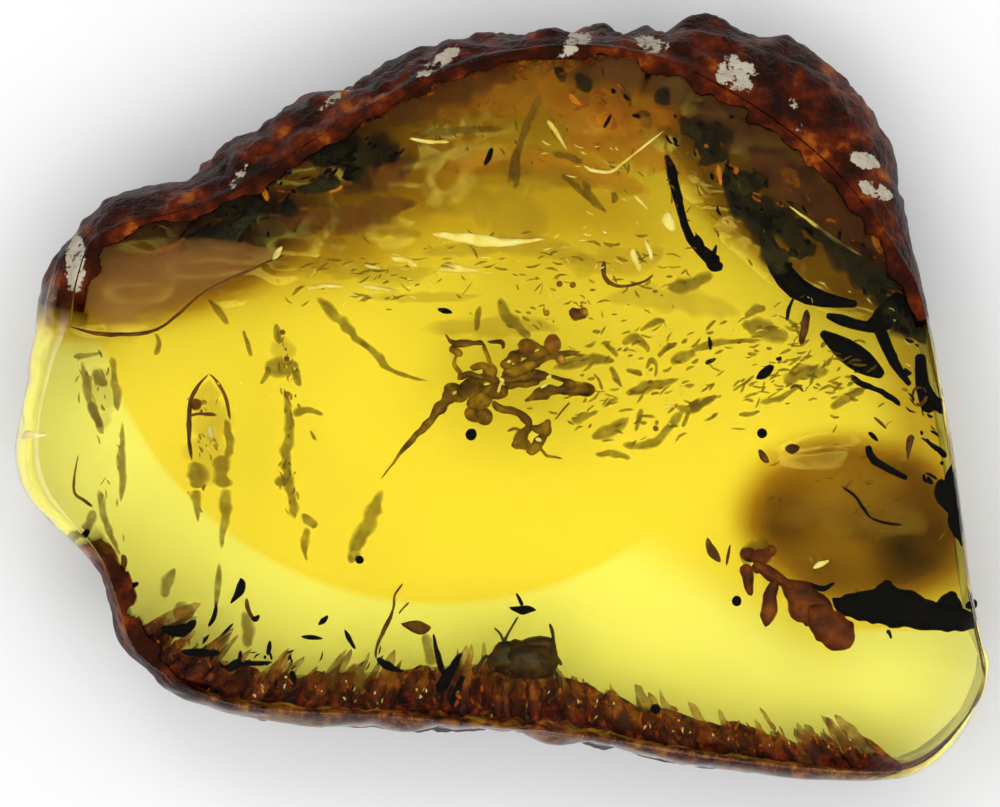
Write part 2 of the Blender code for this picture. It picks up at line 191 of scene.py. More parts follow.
def skin(name, tubes, **fields):
    """One mesh of closed tubes.

    A tube is rings of points, in millimetres, whose first and last ring are capped. Its columns run
    counterclockwise as seen from outside its first ring. Each field gives, for each tube, a value at
    every point, kept as an attribute of that name.
    """
    corners, starts, base, count = [], [], 0, 0
    for tube in tubes:
        rings, columns = tube.shape[:2]
        a = base + np.arange((rings - 1) * columns).reshape(rings - 1, columns)
        b = a + columns
        quads = np.stack([a, b, np.roll(b, -1, 1), np.roll(a, -1, 1)], axis=-1).reshape(-1)
        first = base + np.arange(columns)
        last = base + (rings - 1) * columns + np.arange(columns)[::-1]
        corners.append(np.concatenate([quads, first, last]))
        starts.append(count + np.append(np.arange(0, len(quads) + 1, 4), len(quads) + columns))
        base += rings * columns
        count += len(quads) + 2 * columns
    corners, starts = np.concatenate(corners), np.concatenate(starts)
    mesh = bpy.data.meshes.new(name)
    mesh.vertices.add(base)
    mesh.vertices.foreach_set("co", np.concatenate([tube.reshape(-1) for tube in tubes]) * MM)
    mesh.loops.add(len(corners))
    mesh.loops.foreach_set("vertex_index", corners.astype(np.int32))
    mesh.polygons.add(len(starts))
    mesh.polygons.foreach_set("loop_start", starts.astype(np.int32))
    mesh.update(calc_edges=True)
    mesh.validate()
    mesh.shade_smooth()
    for label, values in fields.items():
        layer = mesh.attributes.new(label, "FLOAT", "POINT")
        layer.data.foreach_set("value", np.concatenate([v.reshape(-1) for v in values]).astype(np.float32))
    return placed(name, mesh)


def part_of(made, material, replaced=()):
    """Gives a finished piece its material and body, and hides the solids that it takes the place of."""
    made.data.materials.append(material)
    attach(made, "root")
    for node in replaced:
        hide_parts(node)
    return made


# Materials


def linear(hex_colour):
    """The linear colour of an sRGB hex value."""
    shares = [int(hex_colour[i : i + 2], 16) / 255 for i in (0, 2, 4)]
    return [s / 12.92 if s <= 0.04045 else ((s + 0.055) / 1.055) ** 2.4 for s in shares] + [1]


def put(tree, socket, value):
    """Gives a socket a plain number or a hex colour, or links another node's output to it."""
    if isinstance(value, (int, float)):
        socket.default_value = value
    elif isinstance(value, str):
        socket.default_value = linear(value)
    else:
        tree.links.new(value, socket)


def node(tree, kind, settings=None, **inputs):
    """Adds a node: settings are its properties and fixed values, inputs go by name or by i and a number."""
    made = tree.nodes.new("ShaderNode" + kind)
    for key, value in (settings or {}).items():
        if key in made.bl_rna.properties:
            setattr(made, key, value)
        else:
            made.inputs[key].default_value = value
    for key, value in inputs.items():
        put(tree, made.inputs[int(key[1:]) if key[1:].isdigit() else key], value)
    return made


def ramp(tree, source, *stops):
    """Colour ramp over a value: stops are place and hex colour."""
    made = node(tree, "ValToRGB", i0=source)
    elements = made.color_ramp.elements
    while len(elements) < len(stops):
        elements.new(0.5)
    for element, (place, colour) in zip(elements, stops):
        element.position = place
        element.color = linear(colour)
    return made.outputs[0]


def maths(tree, operation, *values):
    """Arithmetic on sockets and plain numbers."""
    made = node(tree, "Math", {"operation": operation})
    for socket, value in zip(made.inputs, values):
        put(tree, socket, value)
    return made.outputs[0]


def blend(tree, share, first, second, kind="MIX"):
    """Mixes two colours, which are sockets or hex values, by a share from 0 to 1."""
    settings = {"data_type": "RGBA", "blend_type": kind}
    return node(tree, "Mix", settings, i0=share, i6=first, i7=second).outputs[2]


def spread(tree, value, low, high, first=0.0, last=1.0):
    """Carries a value straight from the span low to high over to the span first to last, and no further."""
    settings = {"From Min": low, "From Max": high, "To Min": first, "To Max": last}
    return node(tree, "MapRange", settings, i0=value).outputs[0]


def surface(shader, rough, gloss):
    """Sets how rough a surface is and how much light it mirrors."""
    shader.inputs["Roughness"].default_value = rough
    shader.inputs["Specular IOR Level"].default_value = gloss


def bumpy(tree, shader, height, depth, strength):
    """Shades the surface as if it rose with a value, by a depth in millimetres."""
    bump = node(tree, "Bump", {"Distance": depth * MM}, Height=height, Strength=strength)
    tree.links.new(bump.outputs[0], shader.inputs["Normal"])


def start(name):
    """A new material: its tree, its shader and the object's own coordinates in millimetres."""
    material = bpy.data.materials.new(name)
    material.use_nodes = True
    tree = material.node_tree
    shader = tree.nodes["Principled BSDF"]
    place = node(tree, "TexCoord").outputs["Object"]
    scaled = node(tree, "VectorMath", {"operation": "SCALE", "Scale": 1 / MM}, i0=place).outputs[0]
    return material, tree, shader, scaled


def noise(tree, place, size, detail=3.0, rough=0.5):
    """Noise whose features are about this many millimetres wide."""
    settings = {"Scale": 1 / size, "Detail": detail, "Roughness": rough}
    return node(tree, "TexNoise", settings, i0=place).outputs[0]


def field(tree, name):
    """A value kept at the points of the mesh."""
    return node(tree, "Attribute", {"attribute_name": name}).outputs["Fac"]


def polished_amber():
    """Baltic amber, ground and polished, with its weathered crust left on the rim.

    The clear body is plain absorption, which turns white light yellow over its thickness. Most of the
    underside is tinted deeper yellow as a painted reflection: the tint ends in a round edge in the west and
    south and in a slanted one in the east, and the underside beyond is left paler, standing in for the
    polished face mirroring bright surroundings there. A brown film is left above the middle and at the right.
    The crust is dull, dark red-brown and nearly opaque, with dull white patches. Where it thins out it
    only stains the amber brown.
    """
    material, tree, shader, place = start("Polished Baltic amber with weathered crust")
    edge, film, chalk, under = (field(tree, name) for name in ("crust", "film", "chalk", "under"))
    parts = node(tree, "SeparateXYZ", i0=place).outputs
    x, y = parts[0], parts[1]
    crust = spread(tree, edge, 0.4, 0.6)
    dulled = spread(tree, edge, 0.02, 0.3)

    # Painted reflection: where the deeper yellow tint on the underside ends, a circle in the west and south,
    # a slant and a level corner in the east
    cx = maths(tree, "ADD", x, -PAINTED_REFLECTION_MIDDLE[0])
    cy = maths(tree, "ADD", y, -PAINTED_REFLECTION_MIDDLE[1])
    squares = maths(tree, "ADD", maths(tree, "MULTIPLY", cx, cx), maths(tree, "MULTIPLY", cy, cy))
    round_edge = spread(tree, maths(tree, "SQRT", squares), PAINTED_REFLECTION_RADIUS, PAINTED_REFLECTION_RADIUS + PAINTED_REFLECTION_SOFTNESS)
    slanted = spread(tree, maths(tree, "MULTIPLY_ADD", x, PAINTED_REFLECTION_SLANT, y), -1.5, -3.1)
    level_edge = maths(tree, "MULTIPLY", spread(tree, y, -6.95, -7.15), spread(tree, x, 9.5, 10.5))
    east = spread(tree, x, 0.5, 2.5)
    west_edge = spread(tree, y, 2.1, 1.5)
    side = maths(tree, "ADD", maths(tree, "MULTIPLY", east, maths(tree, "MAXIMUM", slanted, level_edge)),
                 maths(tree, "MULTIPLY", maths(tree, "SUBTRACT", 1.0, east), west_edge))
    pale = maths(tree, "MULTIPLY", round_edge, side)
    painted_reflection_share = maths(tree, "MULTIPLY", under, maths(tree, "SUBTRACT", 1.0, pale))
    clear = ramp(tree, film, (0.0, "ffffff"), (0.25, "d8c8a0"), (0.5, "a88552"), (0.75, "6e5028"),
                 (1.0, "241d12"))
    # Painted reflection: the underside inside the edge is tinted deeper yellow, the rest is left paler
    clear = blend(tree, painted_reflection_share, clear, "ffeb93", "MULTIPLY")

    # The crust's browns, and the patches where it is chalky
    mottle = noise(tree, place, 1.1, 3.0, 0.6)
    grain = noise(tree, place, 0.35, 2.0, 0.6)
    brown = ramp(tree, mottle, (0.34, "0e0301"), (0.48, "280902"), (0.60, "521a04"), (0.76, "a0560f"))
    brown = blend(tree, maths(tree, "MULTIPLY", grain, 0.6), brown, "3a0d02", "MULTIPLY")
    ragged = noise(tree, place, 0.5, 3.0, 0.75)
    patch = maths(tree, "MULTIPLY_ADD", ragged, 3.4, -1.9)
    patch = maths(tree, "ADD", chalk, patch)
    patch = maths(tree, "MULTIPLY", spread(tree, patch, 0.42, 0.62), spread(tree, chalk, 0.02, 0.2))
    brown = blend(tree, patch, brown, "8a8474")

    tree.links.new(blend(tree, dulled, clear, brown), shader.inputs["Base Color"])
    see = maths(tree, "MULTIPLY", crust, maths(tree, "MULTIPLY_ADD", patch, 0.1, 0.9))
    tree.links.new(maths(tree, "SUBTRACT", 1.0, see), shader.inputs["Transmission Weight"])
    rough = maths(tree, "MULTIPLY_ADD", patch, 0.3, 0.5)
    tree.links.new(maths(tree, "MULTIPLY_ADD", crust, rough, 0.02), shader.inputs["Roughness"])
    tree.links.new(blend(tree, dulled, "ffffff", "6a4030"), shader.inputs["Specular Tint"])
    shader.inputs["IOR"].default_value = AMBER_IOR
    bumpy(tree, shader, noise(tree, place, 0.25, 2.0, 0.65), 0.12, crust)
    body = node(tree, "VolumeAbsorption", {"Color": AMBER_TINT, "Density": AMBER_DENSITY})
    tree.links.new(body.outputs[0], tree.nodes["Material Output"].inputs["Volume"])
    return material


def charcoal(name, dark, light, rough, gloss=0.06):
    """Fossil charcoal, bark and insect skin: dark and dull, with a fine grain that lifts it in places."""
    material, tree, shader, place = start(name)
    grain = noise(tree, place, 0.35, 5.0, 0.65)
    tree.links.new(ramp(tree, grain, (0.35, dark), (0.75, light)), shader.inputs["Base Color"])
    surface(shader, rough, gloss)
    bumpy(tree, shader, grain, 0.04, 0.6)
    return material


def soft_stain(name, dark, light, strength, size=0.9):
    """Stain, crack or film in the resin, without a hard edge: it lets more light by near its outline."""
    material, tree, shader, place = start(name)
    cloud = noise(tree, place, size, 4.0, 0.6)
    tree.links.new(ramp(tree, cloud, (0.35, dark), (0.68, light)), shader.inputs["Base Color"])
    fade = spread(tree, field(tree, "fade"), 0.0, 0.75)
    patchy = maths(tree, "MULTIPLY", fade, spread(tree, cloud, 0.3, 0.6, 0.45, 1.0))
    tree.links.new(maths(tree, "MULTIPLY", patchy, strength), shader.inputs["Alpha"])
    surface(shader, 0.6, 0.1)
    return material


def plant_brown(name, dark, middle, light):
    """Leaf scales, stalks, air films and drops: dull skin in cloudy shades, with fine wrinkles."""
    material, tree, shader, place = start(name)
    cloud = noise(tree, place, 0.7, 4.0, 0.6)
    tree.links.new(ramp(tree, cloud, (0.3, dark), (0.5, middle), (0.72, light)), shader.inputs["Base Color"])
    surface(shader, 0.45, 0.12)
    bumpy(tree, shader, noise(tree, place, 0.25, 4.0, 0.6), 0.05, 0.5)
    return material


def crust_glow(name, fringe):
    """Weathered crust seen through the amber: brown, orange and red in turn, satin and half clear.

    The shell inside the rim shows as much as its attribute cover says. The lobes of the fringe are
    redder at their roots and let more light by at their tips.
    """
    material, tree, shader, place = start(name)
    cloud = noise(tree, place, 0.55, 5.0, 0.7)
    brown = ramp(tree, cloud, (0.32, "160400"), (0.44, "561a02"), (0.52, "9a4a08"), (0.62, "d09020"),
                 (0.72, "7a4a0c"))
    if fringe:
        tip = field(tree, "tip")
        share = maths(tree, "MULTIPLY_ADD", tip, -0.5, 1.0)
        brown = blend(tree, maths(tree, "SUBTRACT", 1.0, tip), brown, "d06a40", "MULTIPLY")
    else:
        share = field(tree, "cover")
    tree.links.new(brown, shader.inputs["Base Color"])
    streak = noise(tree, place, 0.4, 3.0, 0.5)
    see = spread(tree, streak, 0.35, 0.6, 0.55, 0.97)
    tree.links.new(maths(tree, "MULTIPLY", see, share), shader.inputs["Alpha"])
    surface(shader, 0.3, 0.2)
    bumpy(tree, shader, streak, 0.06, 0.6)
    return material


# Pieces


def rim(angle):
    """The slice at each bearing: radius of face, girdle and foot, and height of girdle and face edge."""
    face, girdle = radii_of(FACE_OUTLINE, angle), radii_of(GIRDLE_OUTLINE, angle)
    girdle = np.maximum(girdle, face + LEAST_SHOULDER)
    foot = girdle - by_bearing(angle, FOOT_INSET)
    return face, girdle, foot, around(angle, *GIRDLE_HEIGHTS), CENTRE_HEIGHT - face**2 / (2 * DOME_RADIUS)


def wall_rings(angle, turn, down):
    """Radius, height and share of growth on the rim: a quarter ellipse over the girdle and one under it."""
    face, girdle, foot, middle, edge = rim(angle)
    turn, down, zero = turn[:, None], down[:, None], 0 * angle
    radius = np.vstack([face + (girdle - face) * np.sin(turn), foot + (girdle - foot) * np.cos(down)])
    height = np.vstack([middle + (edge - middle) * np.cos(turn), middle * (1 - np.sin(down))])
    return radius, height, np.vstack([np.sin(turn) + zero, np.cos(down) + zero])


def lumpy(angle, radius, height, grown, crust):
    """Moves the rim's points by the folded noise |2n - 1| at three sizes, and sinks its crust."""
    x, y = radius * np.cos(angle), radius * np.sin(angle)
    ring = np.stack([x, y, height], axis=-1)
    broad = around(angle, 0.05, 0.75, 0.25, 0.35) * (np.abs(2 * lattice_noise(ring, 1.5, 7) - 1) - 0.33)
    small = np.abs(2 * lattice_noise(ring, 0.62, 8) - 1) - 0.3
    tiny = np.abs(2 * lattice_noise(ring, 0.28, 9) - 1) - 0.3
    fine = crust * (0.22 * small + 0.08 * tiny) * around(angle, 0.2, 1.0, 0.6, 0.7)
    scale = 1 + (grown * broad + fine - 0.12 * crust * (1 - grown)) / radius
    sink = crust * (1 - grown) * (0.16 + 0.3 * (0.6 - small)) * around(angle, 0.3, 1.0, 0.6, 0.3)
    height = height - np.where(height > rim(angle)[3], sink, 0)
    return np.stack([x * scale, y * scale, np.maximum(height, 0)], axis=-1)


def amber_slice():
    """The amber: rings from the dome's top out over the shoulder, round the girdle and in over the underside.

    Dome: height = centre height - radius squared / twice the dome radius. The crust ends on the face
    in a ragged border, a noise less its distance from the face's edge. The underside is flat, but rises
    in shallow waves where brown film is left on it.
    """
    angle = np.arange(COLUMNS) * 2 * pi / COLUMNS
    face, foot = rim(angle)[0], rim(angle)[2]
    turn, down = np.linspace(0, pi / 2, 41), np.linspace(0, pi / 2, 25)[1:]
    wall, wall_height, wall_grown = wall_rings(angle, turn, down)
    near_edge = [0.958, 0.966, 0.974, 0.98, 0.985, 0.99, 0.994, 0.998]
    share = np.append(np.linspace(0.02, 0.95, 12), near_edge)[:, None] * face
    inner = np.linspace(1, 0.01, 43)[1:, None] * foot
    radius = np.vstack([share, wall, inner])
    height = np.vstack([CENTRE_HEIGHT - share**2 / (2 * DOME_RADIUS), wall_height, 0 * inner])
    grown = np.vstack([0 * share, wall_grown, 0 * inner])
    upper = by_bearing(angle, UPPER_CRUST) * step(-0.02, 0.05, np.sin(turn))[:, None]
    lower = by_bearing(angle, LOWER_CRUST) * step(0, 0.1, np.cos(down))[:, None]
    on_face = np.stack([share * np.cos(angle), share * np.sin(angle), 0 * share], axis=-1)
    ragged = lattice_noise(on_face, 0.5, 11)
    over_edge = by_bearing(angle, UPPER_CRUST) * step(0, 0.2, ragged + 0.3 - 24 * (1 - share / face))
    crust = np.vstack([over_edge, upper, lower, 0 * inner])
    slope = by_bearing(angle, UPPER_CRUST) * step(0, 0.4, np.sin(turn))[:, None]
    points = lumpy(angle, radius, height, grown, np.vstack([0 * share, slope, lower, 0 * inner]))
    x, y = points[..., 0], points[..., 1]
    flat = np.stack([x, y * 2.2, 0 * x], axis=-1)
    streaks = 0.6 * lattice_noise(flat, 2.6, 3) + 0.4 * lattice_noise(flat, 1.1, 4)
    film = np.clip(blobs(x, y, UNDERSIDE_FILM), 0, 1) * (0.72 + 0.5 * streaks)
    under = np.vstack([0 * share, 0 * wall, 1 + 0 * inner])
    wave = under * step(0.15, 0.6, film) * np.clip(2 * lattice_noise(flat, 1.6, 5) - 0.6, 0, 1)
    points[..., 2] += (0.08 + 0.2 * step(-3, 0, y)) * wave * step(0, 0.12, 1 - radius / foot)
    up_wall = step(0.4, 1, np.sin(down))[:, None] + 0 * face
    film = (under + np.vstack([0 * share, 0 * turn[:, None] * face, up_wall, 0 * inner])) * film
    chalk = crust * blobs(x, y, CHALK_PATCHES)
    return skin("amber_slice", [points], crust=[crust], film=[np.clip(film, 0, 1)],
                chalk=[np.clip(chalk, 0, 1)], under=[under])


def inner_crust():
    """The crust as it is seen through the amber: a thin shell just inside the rim, thicker in folds.

    It follows the wall from its foot over the girdle to the edge of the face, then comes back deeper in.
    """
    angle = np.radians(np.linspace(12, 327, 1100))
    down, turn = np.linspace(1.42, 0.1, 13), np.linspace(0.12, pi / 2, 9)
    radius, height, grown = wall_rings(angle, turn, down[::-1])
    cover = by_bearing(angle, INNER_CRUST)
    relief = np.maximum(cover, by_bearing(angle, UPPER_CRUST))
    outside = lumpy(angle, radius, height, grown, relief + 0 * radius)[::-1]
    inward = np.append(0 * down + 1, np.sin(turn)[::-1])[:, None]
    below = np.append(0 * down, np.cos(turn)[::-1])[:, None]
    ring = np.hypot(outside[..., 0], outside[..., 1])
    folds = np.abs(2 * lattice_noise(outside, 0.5, 21) - 1)
    depth = cover * (0.10 + 0.34 * folds + 0.25 * lattice_noise(outside, 1.3, 22))
    skins = []
    for gap in (0.07 + 0 * depth, 0.09 + depth):
        scale = 1 - gap * (0.25 + 0.75 * inward) / ring
        skins.append(outside * np.stack([scale, scale, 1 + 0 * ring], axis=-1))
        skins[-1][..., 2] += 0.05 * (1 - below) - gap * below
    loop = np.vstack([skins[0], skins[1][::-1]]).transpose(1, 0, 2)
    shade = np.vstack([cover + 0 * ring, (cover + 0 * ring)[::-1]]).T
    return skin("inner_crust", [loop[:, ::-1]], cover=[shade])


def kept_in(points):
    """Presses points that would stand out of the girdle flat against its inside, a little short of it."""
    x, y = points[..., 0], points[..., 1]
    ring = np.hypot(x, y)
    limit = radii_of(GIRDLE_OUTLINE, np.arctan2(y, x) % (2 * pi)) - INSIDE_GIRDLE
    scale = np.minimum(1, limit / ring)
    return points * np.stack([scale, scale, 1 + 0 * scale], axis=-1)


def strip(middle, level, thickness=0.5, ragged=0.25, seed=0, columns=14, steps=6):
    """A flat strip: an ellipse of its width and thickness, carried along a smooth line, with round ends.

    The width is frayed by noise along each side. Its fade is 1 in the middle and 0 at the outline.
    """
    line = smooth_line(on_slice(middle), steps)
    way = np.gradient(line[:, :2], axis=0)
    way /= np.linalg.norm(way, axis=1, keepdims=True)
    along = np.linspace(0, 1, len(line))
    end = np.sqrt(1 - np.abs(2 * along - 1) ** 7)[:, None] * 0.97 + 0.03
    turn = np.arange(columns) * 2 * pi / columns
    run = np.concatenate([[0], np.cumsum(np.hypot(*np.diff(line[:, :2], axis=0).T))])
    zero = 0 * run[:, None] + 0 * turn
    sides = np.stack([run[:, None] + zero, np.sign(np.cos(turn)) * 9 + zero, zero], axis=-1)
    fine = 2 * lattice_noise(sides, 0.22, seed) - 1
    coarse = 2 * lattice_noise(sides, 0.6, seed + 1) - 1
    fray = 1 + ragged * fine + ragged * coarse
    half = line[:, 2, None] / 2 * end * np.cos(turn) * fray
    rise = np.minimum(thickness / 2, line[:, 2, None] * 0.6) * end * np.sin(turn)
    points = np.stack([line[:, 0, None] + way[:, 1, None] * half, line[:, 1, None] - way[:, 0, None] * half,
                       level + rise], axis=-1)
    return kept_in(points), np.sin(turn) ** 2 * end**2


def joined(name, made):
    """One piece out of tubes with their fade."""
    tubes, fades = zip(*made)
    return skin(name, tubes, fade=fades)


def lobes():
    """Crust lobes that stand in from the lower wall like a fringe: strips with round tips."""
    random = np.random.default_rng(12)
    tubes, tips = [], []
    for bearing in np.radians(np.linspace(213, 317, LOBES) + random.uniform(-0.5, 0.5, LOBES)):
        girdle = radii_of(GIRDLE_OUTLINE, np.array([bearing]))[0]
        reach, width = 0.5 + 1.9 * random.uniform(0, 1) ** 1.7, random.uniform(0.14, 0.5)
        t = np.linspace(0, 1, 14)
        radius = girdle - 0.4 - reach * t
        swing = bearing + random.uniform(-0.03, 0.03) * t
        level = random.uniform(1.8, 3.3) - random.uniform(0.1, 1.3) * t
        half = width * (0.7 + random.uniform(0, 0.5) * np.sin(pi * t)) * np.sqrt(1 - t**4) * 0.5 + 0.01
        turn = np.arange(12) * 2 * pi / 12
        side = half[:, None] * np.cos(turn)
        x = radius[:, None] * np.cos(swing)[:, None] - side * np.sin(bearing)
        y = radius[:, None] * np.sin(swing)[:, None] + side * np.cos(bearing)
        z = level[:, None] + 0.5 * half[:, None] * np.sin(turn)
        points = np.stack([x, y, z], axis=-1)
        points += 0.12 * (lattice_noise(points, 0.25, 31)[..., None] - 0.5) * (t[:, None, None] > 0.01)
        tubes.append(points[:, ::-1])
        tips.append(np.clip((reach * t - 0.35) / 1.2, 0, 1)[:, None] + 0 * side)
    return skin("crust_lobes", tubes, tip=tips)


def lump(place, level, seed, columns=18, rows=14):
    """A knobbly egg: an ellipsoid with three half axes, turned in plan, its skin moved by noise."""
    x, y, along, across, turn = place
    (x, y, along, across), up = on_slice([(x, y, along, across)])[0], 0.8 * GRID_STEP * min(along, across)
    t = np.linspace(0.03, pi - 0.03, rows)[:, None]
    round_it = np.arange(columns) * 2 * pi / columns
    c, s = np.cos(radians(turn)), np.sin(radians(turn))
    u = along * np.sin(t) * np.cos(round_it)
    v = across * np.sin(t) * np.sin(round_it)
    w = up * np.cos(t) + 0 * round_it
    points = np.stack([x + u * c - v * s, y + u * s + v * c, level + w], axis=-1)
    knobs = 0.75 + 0.3 * lattice_noise(points, 0.35, seed) + 0.2 * lattice_noise(points, 0.15, seed + 1)
    middle = np.array([x, y, level])
    return middle + (points - middle) * knobs[..., None], np.cos(t) ** 2 + 0 * round_it


def balls(name, table, level=3.6):
    """Round drops at one level, each an even lump."""
    made = [lump((x, y, size, size, 0), level, 400 + i, 16, 12) for i, (x, y, size) in enumerate(table)]
    return skin(name, [points for points, fade in made])


def strips(name, table, low=2.7, high=4.3, thickness=0.5, ragged=0.25, seed=1):
    """Many strips in one piece, each at a level of its own between two heights."""
    return cluster(name, table, (), low, high, thickness, ragged, seed)


def cluster(name, bars, knobs, low, high, thickness, ragged, seed):
    """A tangle of strips and knobbly lumps in one piece, at levels between two heights."""
    random = np.random.default_rng(seed)
    made = [strip(row, level, thickness, ragged, seed + i)
            for i, (row, level) in enumerate(zip(bars, random.uniform(low, high, len(bars))))]
    made += [lump(row, level, seed + 60 + i)
             for i, (row, level) in enumerate(zip(knobs, random.uniform(low, high, len(knobs))))]
    return joined(name, made)


def flecks(name, swarms, low, high, seed):
    """Small bits strewn along lines, each with their number, stray, length, width and lean."""
    random = np.random.default_rng(seed)
    girdle = radii_of(GIRDLE_OUTLINE, np.radians(np.arange(360)))
    made = []
    for line, number, stray, length, width, lean in swarms:
        path = smooth_line(line, 8)
        pick = random.integers(0, len(path) - 1, number)
        x, y = (path[pick] + random.normal(0, stray, (number, 2))).T
        mm = on_slice(np.stack([x, y], -1))
        reach = np.degrees(np.arctan2(mm[:, 1], mm[:, 0])).astype(int) % 360
        inside = np.hypot(*mm.T) < girdle[reach] - 0.5
        x, y, number = x[inside], y[inside], int(inside.sum())
        half = random.uniform(0.3, 1, number) * length / 2
        wide = random.uniform(0.35, 1, number) * width
        way = radians(lean) + random.normal(0, 0.45, number)
        bend = random.uniform(-0.3, 0.3, number) * half
        rows = np.stack([np.stack([x - half * np.cos(way), y - half * np.sin(way), wide * 0.5], -1),
                         np.stack([x + bend * np.sin(way), y - bend * np.cos(way), wide], -1),
                         np.stack([x + half * np.cos(way), y + half * np.sin(way), wide * 0.5], -1)], axis=1)
        made += [strip(row, level, FLECK_THICKNESS, FLECK_RAGGED, seed + i % 20, 8, 2)
                 for i, (row, level) in enumerate(zip(rows, random.uniform(low, high, number)))]
    return joined(name, made)


# Brown film left on the underside: middle, half length and half width in pixels, turn in degrees,
# softness and strength
UNDERSIDE_FILM = (
    (250, 120, 330, 225, 12, 0.85, 0.88),
    (170, 266, 170, 70, 18, 0.4, 0.36),
    (600, 60, 260, 130, 0, 0.8, 0.44),
    (530, 200, 300, 120, -6, 0.9, 0.28),
    (800, 190, 210, 100, -42, 0.35, 0.62),
    (850, 520, 135, 100, -10, 0.4, 0.69),
    (935, 545, 90, 76, -8, 0.7, 0.30),
    (925, 400, 60, 130, 8, 0.7, 0.25),
    (300, 240, 170, 50, -8, 0.8, 0.16),
    (90, 290, 60, 90, 0, 0.7, 0.15),
)
# Dull white patches on the crust, with the same seven values
CHALK_PATCHES = (
    (735, 75, 26, 32, 60, 0.6, 1.0),
    (652, 48, 14, 26, 80, 0.6, 0.9),
    (575, 45, 30, 14, 45, 0.6, 0.9),
    (438, 66, 42, 10, 35, 0.6, 0.9),
    (79, 268, 14, 42, 0, 0.4, 1.2),
    (62, 300, 14, 34, -50, 0.6, 0.9),
    (862, 162, 22, 12, -20, 0.5, 1.0),
    (873, 192, 24, 11, -20, 0.5, 1.0),
    (240, 180, 22, 8, 50, 0.6, 0.8),
    (335, 100, 26, 9, 30, 0.6, 0.8),
    (790, 105, 10, 10, 0, 0.6, 0.7),
    (795, 135, 8, 16, -15, 0.6, 0.7),
)

# From here on each row is a line of pixels, each with the width there. Black charcoal bits
CHARCOAL = (
    ((164, 625, 5), (175, 628, 11), (190, 626, 12), (199, 618, 6)),
    ((184, 649, 6), (200, 651, 8), (215, 651, 7), (223, 649, 4)),
    ((222, 663, 4), (232, 664, 5), (240, 661, 6), (256, 661, 5), (275, 660, 4)),
    ((230, 669, 3), (240, 663, 6), (252, 660, 4)),
    ((243, 648, 3), (243, 656, 5), (242, 662, 4)),
    ((272, 638, 3), (271, 646, 5), (270, 653, 4)),
    ((254, 614, 3), (258, 617, 6), (262, 613, 3)),
    ((243, 576, 2), (244, 583, 8), (240, 592, 7), (233, 602, 2)),
    ((223, 634, 2), (230, 628, 4), (236, 621, 2)),
    ((211, 625, 3), (217, 614, 4), (219, 600, 2)),
    ((320, 623, 2), (325, 619, 5), (330, 613, 2)),
    ((303, 634, 2), (313, 635, 5), (325, 636, 2)),
    ((346, 627, 2), (351, 637, 5), (357, 647, 2)),
    ((378, 655, 4), (386, 661, 8), (396, 666, 6), (405, 669, 2)),
    ((434, 631, 3), (437, 645, 5), (441, 660, 6), (443, 672, 4)),
    ((438, 690, 8), (446, 675, 10), (456, 660, 8), (462, 650, 4)),
    ((452, 705, 8), (458, 688, 10), (466, 672, 8)),
    ((293, 668, 4), (295, 676, 6), (295, 685, 5)),
    ((142, 581, 3), (134, 586, 7), (127, 592, 4)),
    ((92, 528, 7), (88, 534, 8), (82, 541, 3)),
    ((509, 605, 2), (516, 607, 6), (522, 608, 8), (529, 607, 6), (536, 608, 2)),
    ((516, 591, 2), (519, 597, 3), (522, 604, 4)),
    ((917, 437, 2), (930, 446, 5), (943, 457, 8)),
    ((938, 478, 10), (937, 490, 13), (941, 500, 12), (948, 512, 12)),
    ((950, 462, 8), (948, 480, 13), (950, 500, 16), (954, 520, 16), (959, 536, 12), (963, 548, 8)),
    ((929, 398, 14), (937, 405, 16), (942, 413, 8)),
    ((902, 297, 10), (909, 308, 17), (914, 320, 12)),
    ((838, 485, 2), (852, 496, 3), (862, 510, 3), (868, 517, 2), (882, 522, 3), (900, 524, 2)),
    ((664, 156, 3), (668, 170, 9), (673, 188, 9), (681, 203, 3)),
    ((676, 208, 4), (682, 224, 6), (688, 240, 4)),
    ((694, 236, 4), (697, 246, 8), (702, 256, 5)),
    ((714, 246, 2), (712, 254, 4), (708, 262, 5)),
    ((704, 262, 4), (712, 267, 10), (721, 267, 8)),
    ((791, 298, 3), (786, 310, 4), (784, 322, 4)),
    ((847, 375, 4), (855, 382, 6), (870, 388, 5), (885, 396, 7), (897, 406, 5)),
    ((707, 337, 2), (708, 345, 4), (708, 351, 2)),
    ((703, 364, 3), (708, 362, 4), (714, 359, 2)),
    ((753, 379, 4), (762, 373, 9), (771, 366, 7)),
    ((773, 360, 3), (779, 358, 4)),
    ((865, 432, 3), (870, 436, 4), (875, 441, 2)),
    ((492, 150, 5), (489, 160, 5), (485, 168, 3)),
    ((610, 117, 3), (606, 125, 4), (603, 131, 3)),
    ((438, 310, 3), (446, 312, 6), (453, 314, 3)),
)
